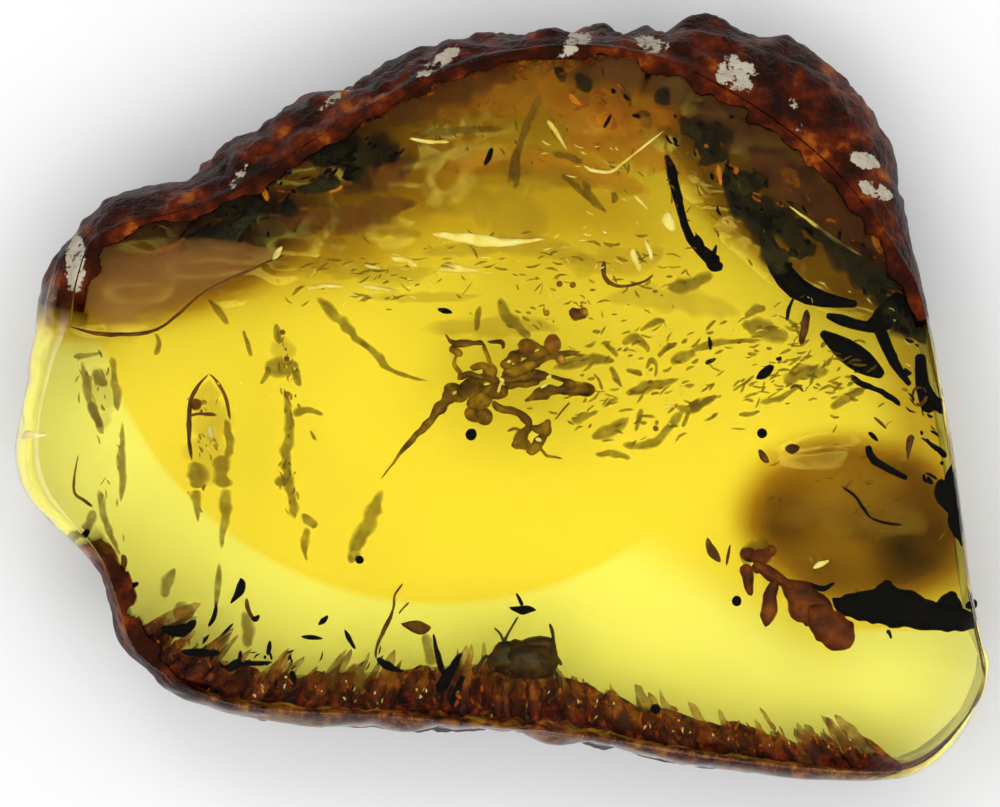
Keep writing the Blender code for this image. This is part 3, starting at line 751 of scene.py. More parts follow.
# Dark, soft-edged shreds, deep in the upper right
DARK_SHREDS = (
    ((678, 118, 10), (690, 132, 26), (702, 142, 30), (706, 158, 18), (696, 168, 6)),
    ((655, 93, 12), (662, 100, 18), (668, 108, 10)),
    ((636, 114, 10), (643, 122, 15), (648, 132, 8)),
    ((700, 132, 16), (716, 138, 22), (732, 142, 12)),
    ((726, 158, 8), (725, 180, 12), (729, 200, 16), (738, 212, 20), (752, 220, 14)),
    ((746, 178, 10), (757, 183, 18), (766, 188, 8)),
    ((763, 206, 5), (767, 216, 9), (772, 230, 5)),
    ((726, 206, 12), (745, 218, 24), (758, 232, 24), (766, 248, 20), (776, 264, 18), (784, 276, 14)),
    ((784, 254, 6), (796, 256, 12), (808, 256, 6)),
    ((792, 220, 6), (808, 232, 16), (822, 240, 13), (830, 245, 4)),
    ((832, 248, 14), (850, 258, 18), (866, 268, 14), (884, 280, 12), (898, 292, 8)),
    ((844, 240, 6), (858, 250, 12), (872, 262, 8)),
    ((795, 170, 10), (805, 179, 15), (810, 186, 8)),
    ((798, 194, 8), (808, 206, 12), (814, 214, 6)),
    ((864, 280, 8), (880, 288, 10), (890, 296, 6)),
    ((186, 238, 12), (205, 238, 24), (230, 232, 28), (250, 220, 24), (266, 206, 10)),
    ((288, 200, 10), (291, 212, 18), (288, 222, 8)),
    ((296, 192, 8), (320, 188, 18), (344, 184, 12)),
    ((310, 160, 26), (345, 156, 50), (378, 156, 40), (402, 164, 20)),
    ((250, 190, 16), (275, 176, 26), (300, 160, 24), (322, 146, 14)),
    ((352, 176, 14), (366, 184, 18), (372, 192, 8)),
    ((554, 70, 8), (560, 78, 12), (564, 86, 6)),
    ((576, 76, 8), (583, 86, 14), (588, 96, 6)),
    ((622, 90, 8), (627, 100, 14), (629, 112, 6)),
    ((820, 156, 10), (836, 172, 16), (846, 190, 10)),
    ((690, 118, 20), (704, 134, 34), (716, 152, 30), (724, 164, 14)),
    ((728, 172, 16), (742, 196, 34), (756, 220, 30), (768, 232, 12)),
    ((752, 198, 16), (776, 222, 30), (800, 246, 24), (812, 258, 10)),
    ((812, 226, 12), (838, 254, 24), (862, 280, 26), (884, 298, 16)),
    ((868, 292, 14), (892, 312, 28), (914, 334, 24), (922, 346, 10)),
)
# Olive and brown streaks, shreds and cracks that fade at their edges
STREAKS = (
    ((570, 421, 9), (582, 416, 10), (598, 411, 7)),
    ((590, 438, 7), (600, 433, 13), (614, 428, 11), (628, 417, 6)),
    ((620, 444, 7), (636, 445, 9), (652, 442, 11), (664, 430, 9), (674, 418, 9), (681, 411, 6)),
    ((672, 406, 7), (688, 408, 11), (700, 402, 9), (715, 395, 4)),
    ((634, 432, 6), (637, 418, 7), (640, 408, 5)),
    ((680, 427, 4), (684, 419, 4), (688, 410, 3)),
    ((593, 454, 4), (610, 453, 7), (630, 458, 5)),
    ((623, 394, 6), (642, 387, 11), (660, 382, 9), (678, 379, 4)),
    ((644, 370, 4), (649, 360, 7), (655, 366, 7), (653, 378, 4)),
    ((656, 358, 5), (664, 350, 6), (676, 343, 4)),
    ((668, 363, 7), (680, 358, 12), (694, 352, 7)),
    ((687, 352, 9), (710, 344, 9), (740, 342, 7), (760, 341, 4)),
    ((730, 392, 3), (742, 383, 4), (752, 375, 3)),
    ((756, 403, 6), (776, 398, 7), (790, 391, 6), (800, 385, 4)),
    ((735, 415, 4), (748, 414, 5), (758, 411, 3)),
    ((551, 369, 9), (575, 362, 12), (600, 360, 11), (614, 362, 6)),
    ((609, 366, 6), (615, 378, 9), (621, 388, 5)),
    ((624, 370, 4), (635, 373, 6), (641, 376, 3)),
    ((592, 374, 3), (598, 381, 4), (602, 391, 3)),
    ((638, 332, 6), (650, 325, 9), (664, 321, 5)),
    ((620, 345, 7), (634, 338, 11), (644, 346, 8), (646, 354, 4)),
    ((602, 344, 7), (612, 352, 6), (616, 358, 4)),
    ((738, 325, 10), (760, 330, 19), (787, 339, 13)),
    ((780, 384, 9), (800, 374, 19), (827, 371, 13)),
    ((826, 408, 7), (845, 398, 13), (864, 386, 7)),
    ((688, 412, 8), (702, 403, 10), (716, 395, 6)),
    ((736, 552, 18), (752, 552, 34), (770, 547, 20)),
    ((664, 290, 10), (690, 284, 22), (712, 276, 14)),
    ((742, 318, 7), (752, 312, 10), (764, 308, 6)),
    ((318, 298, 10), (335, 314, 15), (348, 329, 13), (362, 342, 9), (371, 349, 5)),
    ((360, 340, 6), (380, 358, 9), (396, 372, 7), (430, 382, 4)),
    ((500, 298, 8), (506, 315, 13), (520, 330, 13), (531, 338, 6)),
    ((480, 306, 4), (478, 318, 8), (476, 333, 5)),
    ((582, 182, 6), (590, 200, 9), (606, 216, 6)),
    ((560, 176, 6), (575, 188, 8), (590, 204, 6)),
    ((410, 137, 6), (450, 134, 10), (505, 132, 8)),
    ((550, 155, 5), (570, 161, 9), (583, 166, 5)),
    ((517, 150, 6), (517, 170, 12), (514, 192, 6)),
    ((508, 186, 8), (516, 160, 10), (528, 125, 10), (541, 96, 8)),
    ((611, 194, 5), (613, 200, 7), (612, 206, 4)),
    ((268, 362, 12), (280, 368, 24), (292, 368, 24), (301, 364, 12)),
    ((271, 366, 6), (268, 376, 7), (263, 385, 4)),
    ((298, 368, 7), (299, 378, 8), (303, 387, 4)),
    ((278, 324, 5), (280, 334, 8), (281, 344, 6)),
    ((286, 388, 8), (290, 400, 10), (293, 424, 12), (289, 446, 14), (288, 464, 14), (292, 486, 14),
     (296, 508, 12), (297, 518, 6)),
    ((294, 415, 10), (308, 411, 11), (318, 412, 7), (326, 415, 3)),
    ((277, 483, 8), (283, 480, 14), (289, 484, 9)),
    ((304, 512, 6), (312, 520, 10), (319, 526, 8)),
    ((310, 526, 7), (306, 536, 9), (306, 548, 6), (309, 560, 3)),
    ((384, 488, 7), (376, 508, 12), (366, 530, 15), (356, 552, 13), (351, 562, 7)),
    ((76, 357, 4), (90, 356, 7), (106, 353, 5)),
    ((85, 360, 6), (90, 385, 8), (95, 410, 9), (104, 428, 7), (107, 434, 4)),
    ((115, 356, 9), (118, 378, 10), (120, 398, 10), (121, 412, 5)),
    ((97, 370, 8), (104, 380, 11), (111, 386, 6)),
    ((95, 400, 10), (100, 414, 13), (105, 428, 8)),
    ((126, 420, 5), (125, 450, 8), (126, 480, 7), (124, 502, 4)),
    ((102, 488, 6), (106, 510, 8), (114, 535, 7), (124, 555, 5)),
    ((98, 509, 7), (94, 519, 10), (88, 530, 9)),
    ((197, 460, 18), (199, 476, 22), (198, 488, 16)),
    ((222, 454, 18), (226, 472, 20), (226, 488, 14)),
    ((228, 418, 8), (232, 440, 11), (229, 458, 10)),
    ((199, 488, 14), (200, 505, 10), (201, 522, 3)),
    ((228, 486, 14), (228, 510, 10), (226, 530, 8), (224, 548, 4)),
    ((222, 560, 5), (220, 590, 6), (218, 606, 4)),
    ((178, 566, 4), (172, 580, 12), (167, 597, 9)),
    ((176, 606, 14), (187, 610, 28), (197, 614, 18)),
    ((246, 608, 8), (250, 628, 14), (250, 646, 10)),
    ((424, 631, 9), (428, 645, 12), (432, 664, 13)),
    ((340, 664, 10), (334, 676, 14), (336, 690, 10)),
    ((362, 660, 12), (360, 674, 20), (364, 690, 14)),
    ((312, 430, 3), (316, 436, 4), (318, 440, 3)),
    ((210, 300, 5), (222, 312, 7), (232, 326, 5)),
    ((158, 333, 4), (162, 345, 6), (158, 356, 4)),
    ((246, 330, 4), (250, 344, 6), (254, 358, 4)),
)
# Brown plant shreds and crack edges that stay sharp
SHREDS = (
    ((126, 553, 5), (127, 562, 7), (126, 573, 4)),
    ((249, 596, 3), (251, 608, 5), (255, 616, 4)),
    ((404, 581, 3), (396, 593, 2), (395, 603, 2), (392, 613, 3), (387, 625, 5), (381, 637, 3),
     (377, 648, 3), (377, 656, 3)),
    ((402, 621, 3), (412, 624, 9), (423, 626, 10), (432, 625, 4)),
    ((704, 538, 3), (710, 550, 7), (718, 560, 5)),
    ((908, 434, 8), (906, 446, 7), (904, 460, 3)),
    ((804, 310, 6), (801, 328, 8), (798, 346, 6)),
    ((870, 417, 2), (877, 423, 3), (883, 429, 2)),
    ((787, 389, 3), (794, 386, 4), (801, 392, 3)),
    ((973, 632, 2), (979, 660, 3), (984, 680, 2)),
    ((212, 374, 2), (200, 388, 3), (194, 402, 4), (192, 430, 4), (195, 460, 4)),
    ((212, 374, 2), (220, 382, 3), (229, 398, 3), (233, 420, 4)),
    ((193, 416, 3), (204, 414, 3), (220, 415, 3)),
    ((82, 454, 2), (78, 475, 2), (78, 492, 3), (88, 500, 3), (96, 506, 3)),
    ((72, 327, 2), (107, 335, 4), (160, 330, 3), (208, 292, 2), (255, 270, 3), (290, 255, 2)),
    ((602, 262, 5), (604, 278, 5), (616, 287, 4), (640, 284, 3), (652, 276, 3)),
    ((908, 400, 3), (911, 389, 3), (919, 388, 3), (923, 396, 3), (918, 404, 4), (911, 405, 4)),
    ((568, 312, 8), (577, 315, 13), (586, 316, 8)),
    ((766, 462, 5), (760, 455, 6), (756, 449, 3)),
    ((782, 449, 4), (789, 448, 8), (797, 447, 4)),
    ((400, 612, 2), (404, 606, 2), (410, 600, 2)),
)
# Clear films and flow sheets, seen as pale brown bands
SHEETS = (
    ((418, 212, 10), (455, 204, 34), (490, 208, 50), (520, 220, 52), (550, 232, 20)),
    ((350, 236, 10), (390, 232, 20), (425, 238, 16)),
    ((420, 254, 10), (470, 250, 18), (530, 248, 24), (600, 264, 20)),
    ((365, 298, 8), (420, 300, 13), (440, 298, 12), (485, 297, 8)),
    ((300, 262, 10), (350, 272, 24), (400, 276, 22), (440, 272, 10)),
    ((560, 262, 14), (600, 268, 34), (640, 262, 30), (664, 250, 12)),
    ((420, 330, 10), (470, 328, 22), (520, 326, 20), (560, 330, 10)),
    ((600, 300, 12), (650, 300, 26), (700, 306, 22), (740, 316, 12)),
    ((212, 378, 12), (212, 410, 38), (212, 450, 42), (212, 486, 34)),
    ((98, 366, 20), (103, 390, 34), (108, 414, 22), (108, 430, 6)),
    ((272, 350, 12), (286, 350, 26), (300, 352, 12)),
    ((460, 180, 14), (520, 178, 30), (570, 182, 26), (600, 190, 12)),
    ((770, 520, 20), (820, 505, 60), (870, 505, 70), (930, 530, 40)),
)
# Brown and orange clouds under the upper rim
GLOW = (
    ((410, 118, 20), (470, 96, 46), (560, 88, 62), (640, 104, 54), (700, 136, 20)),
    ((540, 110, 20), (590, 120, 50), (630, 122, 40), (660, 128, 14)),
    ((560, 140, 16), (610, 150, 40), (650, 160, 34), (680, 178, 12)),
    ((440, 170, 16), (520, 165, 36), (600, 178, 30), (650, 196, 12)),
)
# Rust-red clouds under the upper rim
RUST = (
    ((250, 232, 12), (310, 226, 34), (380, 214, 30), (420, 204, 10)),
    ((388, 128, 20), (420, 106, 44), (470, 86, 40), (520, 72, 20)),
    ((340, 196, 14), (380, 180, 26), (420, 160, 18)),
    ((100, 244, 12), (150, 232, 22), (200, 226, 14)),
    ((740, 150, 20), (800, 190, 50), (860, 236, 44), (900, 290, 20)),
    ((700, 90, 14), (740, 108, 24), (780, 134, 16)),
)
# Dull brown haze inside the upper right rim
HAZE = (
    ((556, 84, 14), (610, 72, 38), (670, 86, 52), (730, 128, 46), (760, 150, 16)),
    ((700, 118, 16), (752, 150, 44), (812, 190, 56), (866, 244, 52), (900, 296, 22)),
)
# The clouded veil at the upper left
VEIL = (
    ((76, 300, 40), (100, 290, 84), (140, 286, 92), (185, 272, 70), (230, 262, 44), (262, 257, 22),
     (288, 254, 6)),
)
# Painted gold glints: air films in bright pale gold, standing in for the light they mirror
PAINTED_GOLD_GLINTS = (
    ((410, 141, 2), (430, 144, 4), (450, 145, 3)),
    ((432, 236, 5), (460, 240, 9), (500, 244, 8), (545, 241, 4)),
    ((392, 260, 5), (408, 262, 7), (418, 268, 5)),
    ((308, 290, 3), (325, 287, 5), (345, 288, 3)),
    ((362, 287, 3), (385, 290, 5), (402, 294, 3)),
    ((366, 266, 3), (376, 269, 4), (382, 271, 2)),
    ((434, 272, 4), (455, 270, 7), (480, 272, 4)),
    ((547, 123, 3), (555, 135, 5), (566, 153, 2)),
    ((583, 168, 2), (592, 173, 3), (610, 174, 3), (622, 165, 3), (640, 151, 2), (663, 133, 2)),
    ((632, 197, 2), (640, 205, 3), (646, 212, 2)),
    ((630, 250, 4), (634, 262, 9), (640, 273, 5)),
    ((643, 242, 3), (648, 252, 5), (650, 262, 3)),
    ((664, 214, 8), (668, 224, 12), (672, 233, 7)),
    ((275, 261, 2), (280, 255, 6), (285, 248, 3)),
    ((810, 567, 3), (818, 563, 6), (826, 559, 3)),
    ((786, 208, 2), (806, 222, 3), (830, 240, 3), (858, 257, 2)),
    ((26, 437, 4), (38, 436, 7), (52, 434, 3)),
    ((212, 425, 5), (215, 434, 9), (216, 439, 5)),
)
# Orange air films: their bright orange is partly their own colour and partly a painted glint, standing in for
# light they mirror
ORANGE_FILMS_AND_GLINTS = (
    ((150, 257, 2), (165, 252, 6), (180, 246, 7), (187, 240, 3)),
    ((303, 210, 2), (318, 211, 4), (332, 210, 2)),
    ((585, 118, 10), (605, 124, 24), (620, 112, 14)),
    ((568, 96, 6), (574, 104, 10), (582, 108, 6)),
    ((716, 166, 5), (718, 178, 8), (719, 188, 5)),
    ((776, 170, 10), (790, 180, 20), (798, 190, 12)),
    ((866, 228, 8), (873, 242, 13), (879, 256, 8)),
    ((330, 195, 3), (338, 192, 5), (345, 188, 3)),
    ((264, 188, 4), (268, 196, 6), (270, 204, 4)),
)
# Round resin drops and round black specks: place and radius
DROPS = (
    (552, 344, 9), (527, 347, 9), (582, 314, 6), (199, 404, 6), (654, 428, 3), (285, 333, 3),
    (289, 359, 3), (560, 360, 5), (572, 286, 3), (559, 285, 3), (546, 314, 3), (290, 394, 3),
)
SPECKS = (
    (472, 434, 5.5), (759.6, 432.6, 5), (734, 599, 5), (361, 558, 4.5), (654, 706, 5.5), (350, 159, 4.5),
)

# The tangle of plant shreds in the middle: bars, lumps and glints. A lump is a place, half length and
# half width and the turn in degrees
TANGLE_BARS = (
    ((382, 479, 2), (400, 455, 4), (416, 436, 6), (432, 419, 8), (447, 401, 12), (456, 390, 14)),
    ((448, 340, 4), (458, 345, 8), (470, 344, 6), (484, 343, 6)),
    ((446, 335, 2), (449, 340, 3), (452, 344, 3)),
    ((450, 348, 6), (457, 352, 9), (462, 357, 6)),
    ((459, 352, 3), (455, 364, 4), (461, 373, 5), (464, 380, 6)),
    ((483, 343, 5), (487, 356, 6), (491, 370, 8), (494, 380, 8)),
    ((487, 342, 3), (501, 343, 4), (503, 350, 3)),
    ((500, 364, 8), (508, 360, 9), (516, 356, 12), (528, 352, 14), (540, 353, 12), (550, 350, 6)),
    ((502, 374, 10), (520, 368, 12), (540, 360, 10), (560, 355, 8), (580, 352, 5)),
    ((500, 378, 10), (520, 376, 14), (540, 376, 12), (549, 378, 6)),
    ((504, 386, 8), (522, 384, 8), (540, 382, 8)),
    ((524, 401, 4), (532, 398, 8), (541, 394, 10), (552, 390, 12), (568, 389, 13), (581, 389, 15),
     (590, 392, 10)),
    ((548, 375, 3), (558, 379, 4), (570, 382, 4), (582, 384, 3)),
    ((569, 402, 2), (562, 410, 2), (554, 420, 2)),
    ((492, 402, 10), (502, 408, 8), (512, 411, 7), (522, 416, 7), (531, 427, 8)),
    ((516, 449, 10), (519, 440, 13), (524, 432, 11), (531, 426, 8)),
    ((530, 426, 6), (538, 429, 9), (545, 427, 9), (549, 419, 6)),
    ((545, 429, 9), (542, 438, 10), (534, 447, 11), (526, 452, 8)),
    ((507, 431, 2), (514, 429, 3), (521, 430, 4)),
    ((538, 445, 3), (543, 452, 3), (548, 456, 3), (562, 458, 2)),
    ((470, 368, 6), (482, 366, 10), (494, 372, 10)),
    ((458, 380, 8), (470, 374, 8), (484, 378, 8), (500, 384, 6)),
    ((462, 398, 6), (478, 392, 7), (494, 398, 6)),
)
TANGLE_LUMPS = (
    (456, 392, 9, 13, 65), (470, 388, 12, 10, 30), (485, 384, 15, 12, 20), (480, 402, 15, 9, 20),
    (474, 414, 9, 8, 0), (484, 416, 9, 9, 0), (496, 392, 8, 12, 80), (490, 372, 8, 8, 0),
    (515, 358, 7, 6, 0), (528, 351, 9, 8, 20), (540, 357, 7, 5, 0), (584, 390, 9, 8, 0),
    (568, 384, 6, 5, 0), (522, 443, 6, 9, 70), (545, 430, 6, 7, 0), (506, 365, 6, 5, 0),
)
TANGLE_GLINTS = (
    ((499, 378, 3), (503, 381, 4), (500, 386, 3), (498, 393, 4)),
    ((453, 393, 3), (455, 393, 3), (457, 391, 2)),
    ((535, 438, 3), (538, 439, 4), (541, 441, 2)), ((507, 362, 2), (509, 362, 3), (511, 361, 2)),
    ((547, 346, 2), (550, 344, 3), (553, 344, 2)), ((524, 348, 2), (527, 347, 3), (529, 348, 2)),
    ((546, 379, 2), (548, 377, 3), (551, 376, 2)), ((484, 385, 1.5), (487, 384, 2.5), (490, 384, 1.5)),
    ((540, 388, 2), (544, 386, 2.5), (548, 384, 1.5)), ((532, 352, 1.5), (536, 351, 2), (539, 350, 1.5)),
)
# The bud scales, from the dark knob they hang on to the two large ones that overlap
SCALE_BARS = (
    ((742, 562, 12), (745, 572, 14), (746, 584, 11), (749, 594, 7)),
    ((775, 574, 6), (770, 587, 13), (767, 600, 17), (765, 614, 15), (763, 625, 6)),
    ((752, 560, 10), (764, 570, 12), (778, 578, 10), (790, 586, 8)),
    ((777, 577, 6), (790, 587, 22), (802, 598, 36), (814, 611, 36), (821, 622, 20)),
    ((806, 604, 14), (818, 615, 34), (831, 627, 37), (841, 638, 30), (847, 646, 12)),
    ((780, 586, 5), (788, 592, 9), (794, 598, 5)),
    ((728, 543, 2), (726, 553, 3), (724, 564, 2)),
    ((705, 536, 3), (711, 550, 7), (718, 561, 4)),
)
SCALE_LUMPS = ((746, 553, 9, 8, 0), (758, 556, 11, 8, 10), (768, 549, 7, 6, 0), (757, 566, 8, 6, 0))
# The black bark splinter that reaches the sawn edge
SPLINTER_BARS = (
    ((829, 596, 5), (837, 602, 18), (850, 604, 26), (870, 604, 35), (886, 605, 42), (905, 608, 39),
     (922, 612, 33), (940, 615, 28), (960, 618, 24), (979, 620, 21)),
    ((872, 592, 10), (883, 588, 14), (894, 592, 10)),
    ((932, 606, 8), (944, 600, 16), (952, 604, 14), (958, 612, 8)),
    ((962, 606, 6), (970, 602, 9), (977, 603, 7)),
    ((807, 582, 3), (820, 587, 6), (832, 581, 3)),
    ((884, 628, 5), (887, 633, 3), (888, 637, 2)),
    ((838, 596, 5), (856, 593, 6), (872, 590, 5)),
)
SPLINTER_LUMPS = ((884, 583, 6, 5, 0), (948, 596, 7, 6, 40), (973, 604, 5, 5, 0))
# The aphid: abdomen, thorax, head, and its legs, antennae and horns
APHID_LUMPS = (
    (530, 657, 28, 19, -6), (506, 655, 19, 16, 12), (538, 645, 17, 12, 6), (518, 649, 20, 12, 0),
    (494, 660, 8, 9, 0), (520, 668, 22, 8, -4), (548, 655, 9, 15, 0),
)
APHID_LIMBS = (
    ((503, 645, 6), (505, 638, 4), (507, 633, 3), (512, 624, 2.5), (518, 614, 2.5)),
    ((504, 640, 3), (500, 631, 2.5), (494, 625, 2)),
    ((552, 650, 4), (553, 640, 3.5), (552, 630, 3.5), (549, 621, 3)),
    ((553, 646, 3), (557, 655, 3), (561, 663, 3)),
    ((550, 664, 4), (556, 671, 4), (560, 682, 5), (557, 692, 5), (548, 701, 3)),
    ((549, 688, 2), (544, 694, 3), (540, 701, 3)),
    ((488, 652, 4), (483, 657, 4), (479, 664, 3), (477, 672, 2)),
    ((514, 672, 5), (512, 682, 3), (508, 690, 2)),
    ((536, 672, 4), (535, 682, 3), (532, 690, 2)),
)
# Bits strewn through the amber: line, number, stray, length, width, lean in degrees
DARK_SWARMS = (
    (((610, 100), (680, 130), (745, 200), (800, 235), (870, 270), (905, 320), (930, 400), (948, 470)),
     120, 15, 14, 5, 48),
    (((180, 240), (260, 205), (340, 165), (400, 150)), 60, 9, 16, 5, -30),
    (((150, 615), (200, 640), (260, 655), (340, 660), (440, 675)), 24, 9, 13, 4, -60),
    (((900, 300), (930, 400), (945, 480)), 30, 12, 16, 5, 60),
)
OLIVE_SWARMS = (
    (((560, 415), (640, 400), (720, 385), (800, 375), (860, 380)), 150, 22, 20, 5, -20),
    (((570, 350), (650, 345), (740, 335), (800, 330)), 60, 14, 18, 5, -15),
    (((300, 285), (400, 275), (500, 262), (620, 270), (700, 260)), 110, 17, 22, 4, -3),
    (((420, 120), (500, 130), (600, 140), (680, 170), (720, 240)), 90, 26, 15, 4, 65),
    (((280, 340), (292, 400), (290, 460), (295, 515)), 40, 5, 13, 4, 85),
    (((212, 390), (210, 440), (212, 500)), 26, 9, 12, 4, 85),
    (((92, 360), (102, 400), (112, 460), (112, 540)), 26, 9, 16, 4, 80),
    (((480, 300), (540, 320), (600, 300), (660, 310)), 40, 14, 12, 4, 30),
    (((780, 500), (850, 470), (900, 520), (850, 560)), 30, 24, 16, 3, -20),
)
# Painted glints: bright gold flecks standing in for mirrored light
PAINTED_GLINT_SWARMS = (
    (((320, 285), (400, 280), (480, 258), (560, 255), (640, 270)), 40, 15, 12, 2.2, -4),
    (((540, 150), (600, 170), (650, 230)), 18, 22, 12, 2, 40),
    (((500, 300), (560, 300), (640, 330), (680, 400), (620, 430)), 34, 14, 7, 2.2, -10),
    (((280, 335), (290, 380), (212, 400), (212, 460)), 16, 7, 6, 3, 60),
    (((760, 330), (850, 280), (900, 360)), 14, 16, 9, 2, 30),
    (((180, 690), (300, 690), (420, 690), (560, 700), (700, 730), (900, 745)), 50, 8, 6, 2.4, -80),
)
RUST_SWARMS = (
    (((700, 130), (760, 190), (860, 230), (890, 270)), 30, 13, 14, 7, 40),
    (((400, 90), (480, 75), (570, 90), (620, 110)), 30, 12, 16, 8, 20),
    (((120, 250), (200, 230), (300, 200)), 16, 8, 14, 4, -20),
    (((150, 640), (300, 680), (440, 690), (600, 700), (760, 735), (880, 750)), 90, 8, 12, 6, 80),
)


# Stage


def paper():
    """White writing paper: pressed pulp, dull, with a faint tooth."""
    material, tree, shader, place = start("White paper")
    tooth = noise(tree, place, 0.4, 4.0, 0.6)
    shade = noise(tree, place, 14.0, 2.0)
    colour = blend(tree, shade, "b2b2b2", "b8b8b9")
    tree.links.new(colour, shader.inputs["Base Color"])
    surface(shader, 0.9, 0.2)
    bumpy(tree, shader, tooth, 0.03, 0.4)
    return material


def floor():
    """The sheet of paper, a flat square a fiftieth of a millimetre under the slice."""
    side = PAPER_HALF * MM
    mesh = bpy.data.meshes.new("paper")
    z = -0.02 * MM
    corners = [(-side, -side, z), (side, -side, z), (side, side, z), (-side, side, z)]
    mesh.from_pydata(corners, [], [(0, 1, 2, 3)])
    made = placed("paper", mesh)
    mesh.materials.append(paper())


def card():
    """A white card under the slice, a little smaller than its foot, far whiter than the paper: a painted pool
    of light that brightens the amber above it.
    """
    angle = np.arange(180) * 2 * pi / 180
    radius = (rim(angle)[2] - 0.25) * MM
    z = -0.01 * MM
    mesh = bpy.data.meshes.new("card")
    points = np.stack([radius * np.cos(angle), radius * np.sin(angle), z + 0 * angle], axis=-1)
    mesh.from_pydata(points.tolist(), [], [list(range(180))])
    made = placed("card", mesh)
    material, tree, shader, place = start("White card painted bright as a pool of light")
    shade = noise(tree, place, 2.0, 3.0)
    # Painted light: the card's near-white colour stands in for more light under the slice
    tree.links.new(blend(tree, shade, "fcfcfc", "ffffff"), shader.inputs["Base Color"])
    surface(shader, 0.95, 0.0)
    mesh.materials.append(material)


def soft_light():
    """A white tent, bright all round and dim overhead, where the camera looks in, with one small lamp.

    The dim top keeps the polished dome from mirroring white over the colour of the amber.
    """
    world = bpy.data.worlds.new("Light tent")
    bpy.context.scene.world = world
    world.use_nodes = True
    tree = world.node_tree
    sky = tree.nodes["Background"]
    sky.inputs["Color"].default_value = (1, 1, 1, 1)
    way = node(tree, "TexCoord").outputs["Generated"]
    parts = node(tree, "SeparateXYZ", i0=way).outputs
    up = parts[2]
    tent = spread(tree, up, 0.35, 0.82, 0.33, 3.8)
    top = spread(tree, up, 0.915, 0.945, 1.0, 0.02)
    front = maths(tree, "MULTIPLY_ADD", parts[1], -0.5, 1.0)
    tree.links.new(maths(tree, "MULTIPLY", maths(tree, "MULTIPLY", tent, top), front), sky.inputs["Strength"])
    lamp = bpy.data.lights.new("window", "AREA")
    lamp.shape = "SQUARE"
    lamp.size = 0.07
    lamp.energy = 0.05
    lamp.color = (1.0, 1.0, 1.0)
    made = placed("window", lamp)
    made.location = (-0.045, 0.10, 0.13)
    made.rotation_euler = (radians(-37), radians(-17), 0)


def camera():
    """Looks straight down at the middle of the slice, from 22 cm."""
    lens = bpy.data.cameras.new("camera")
    lens.sensor_width = SENSOR
    lens.lens = SENSOR * VIEW_DISTANCE / VIEW_WIDTH
    lens.clip_start = 0.01
    made = placed("camera", lens)
    made.location = [MM * value for value in CAMERA_PLACE]
    bpy.context.scene.camera = made


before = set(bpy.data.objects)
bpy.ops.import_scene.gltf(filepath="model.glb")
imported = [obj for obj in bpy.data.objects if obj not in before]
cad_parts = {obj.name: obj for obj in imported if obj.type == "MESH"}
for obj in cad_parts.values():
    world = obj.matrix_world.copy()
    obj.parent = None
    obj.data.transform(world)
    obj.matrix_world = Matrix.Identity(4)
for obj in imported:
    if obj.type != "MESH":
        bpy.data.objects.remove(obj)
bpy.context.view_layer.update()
camera()
soft_light()
floor()
card()
bpy.context.scene.view_settings.view_transform = "Standard"

part_of(amber_slice(), polished_amber(), ("amber_upper", "amber_lower"))
part_of(inner_crust(), crust_glow("Weathered crust behind the amber", fringe=False))
part_of(lobes(), crust_glow("Crust lobes", fringe=True))
black = charcoal("Fossil charcoal", "010101", "070402", 0.75)
part_of(strips("charcoal_bits", CHARCOAL, thickness=0.3, seed=1), black)
part_of(balls("specks", SPECKS), black)
part_of(strips("dark_shreds", DARK_SHREDS, 2.2, 3.9, 0.3, 0.4, 50),
        soft_stain("Dark bark dust", "0c0e08", "2c2814", 0.95))
part_of(strips("streaks", STREAKS, 2.6, 4.2, 0.4, 0.35, 90),
        soft_stain("Olive stain", "4a3406", "86641a", 0.6, 0.4))
part_of(strips("plant_shreds", SHREDS, 2.8, 4.2, 0.3, 0.3, 150),
        plant_brown("Plant shreds", "321804", "5e380a", "8a6414"))
part_of(strips("flow_sheets", SHEETS, 2.2, 4.0, 0.25, 0.3, 180),
        soft_stain("Flow sheets", "7a5216", "a8842c", 0.22, 1.6))
part_of(strips("amber_glow", GLOW, 2.4, 3.4, 0.3, 0.3, 270),
        soft_stain("Orange clouds", "a85a14", "d88a24", 0.42, 0.8))
part_of(strips("rust_clouds", RUST, 2.2, 3.2, 0.3, 0.3, 280),
        soft_stain("Rust clouds", "3c1a0c", "7a4420", 0.6, 0.8))
part_of(strips("left_veil", VEIL, 4.2, 4.3, 0.12, 0.05, 260),
        soft_stain("Clouded veil", "8e5c34", "ac7a48", 0.5, 2.5))
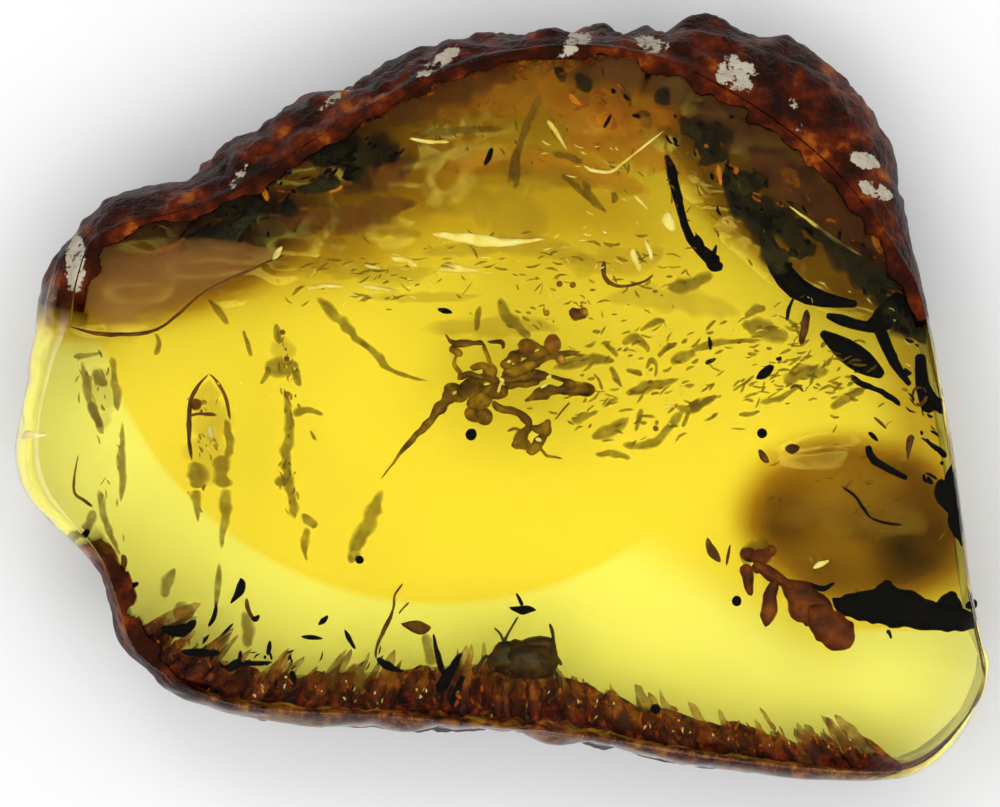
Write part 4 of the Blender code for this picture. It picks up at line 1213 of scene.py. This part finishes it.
part_of(strips("right_haze", HAZE, 2.9, 3.3, 0.12, 0.3, 265),
        soft_stain("Brown haze", "5e3a2c", "8a5a48", 0.42, 0.9))
# Painted glints: a bright pale gold skin stands in for light mirrored by air films
painted_glint = plant_brown("Air films painted as gold glints", "e8c848", "fff0a0", "fffce0")
part_of(strips("painted_gold_glints", PAINTED_GOLD_GLINTS, 3.2, 4.4, 0.12, 0.3, 210), painted_glint)
# Orange films, partly painted glints: bright orange stands in for mirrored light
part_of(strips("orange_films_and_glints", ORANGE_FILMS_AND_GLINTS, 3.0, 4.0, 0.15, 0.3, 240),
        soft_stain("Orange films and painted glints", "d06a10", "f0a030", 0.6))
part_of(balls("drops", DROPS), plant_brown("Resin drops", "5a3208", "9a641c", "e0b850"))

part_of(flecks("bark_dust", DARK_SWARMS, 2.4, 4.0, seed=301), black)
part_of(flecks("olive_flecks", OLIVE_SWARMS, 2.4, 4.2, seed=302),
        soft_stain("Olive flecks", "5c4208", "94721a", 0.62, 0.4))
part_of(flecks("painted_glint_flecks", PAINTED_GLINT_SWARMS, 3.0, 4.4, seed=303), painted_glint)
part_of(flecks("rust_flecks", RUST_SWARMS, 2.6, 4.0, seed=304),
        soft_stain("Rust flecks", "8a3008", "c8701c", 0.85, 0.5))

scales = plant_brown("Fossil bud scales", "2a1002", "5c2404", "8a480c")
tangle = plant_brown("Fossil plant tangle", "3a2002", "705008", "c09420")
skin_brown = charcoal("Fossil insect skin", "0e0602", "5c3a0c", 0.45, 0.3)
part_of(cluster("plant_tangle", TANGLE_BARS, TANGLE_LUMPS, 2.75, 3.25, 0.3, 0.35, 310),
        tangle, ("plant_debris",))
part_of(cluster("tangle_glints", TANGLE_GLINTS, (), 3.5, 3.6, 0.1, 0.2, 320), painted_glint)
part_of(cluster("scale_leaves", SCALE_BARS, SCALE_LUMPS, 2.7, 3.1, 0.35, 0.15, 330),
        scales, ("bud_scales",))
part_of(cluster("bark_splinter", SPLINTER_BARS, SPLINTER_LUMPS, 2.8, 3.0, 0.5, 0.1, 340),
        black, ("bark_sliver",))
part_of(cluster("aphid_body", APHID_LIMBS, APHID_LUMPS, 2.85, 3.0, 0.2, 0.15, 350),
        skin_brown, ("aphid",))
for number in range(1, 7):
    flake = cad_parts[f"bark_flake_{number}"]
    flake.data.materials.clear()
    flake.data.materials.append(black)
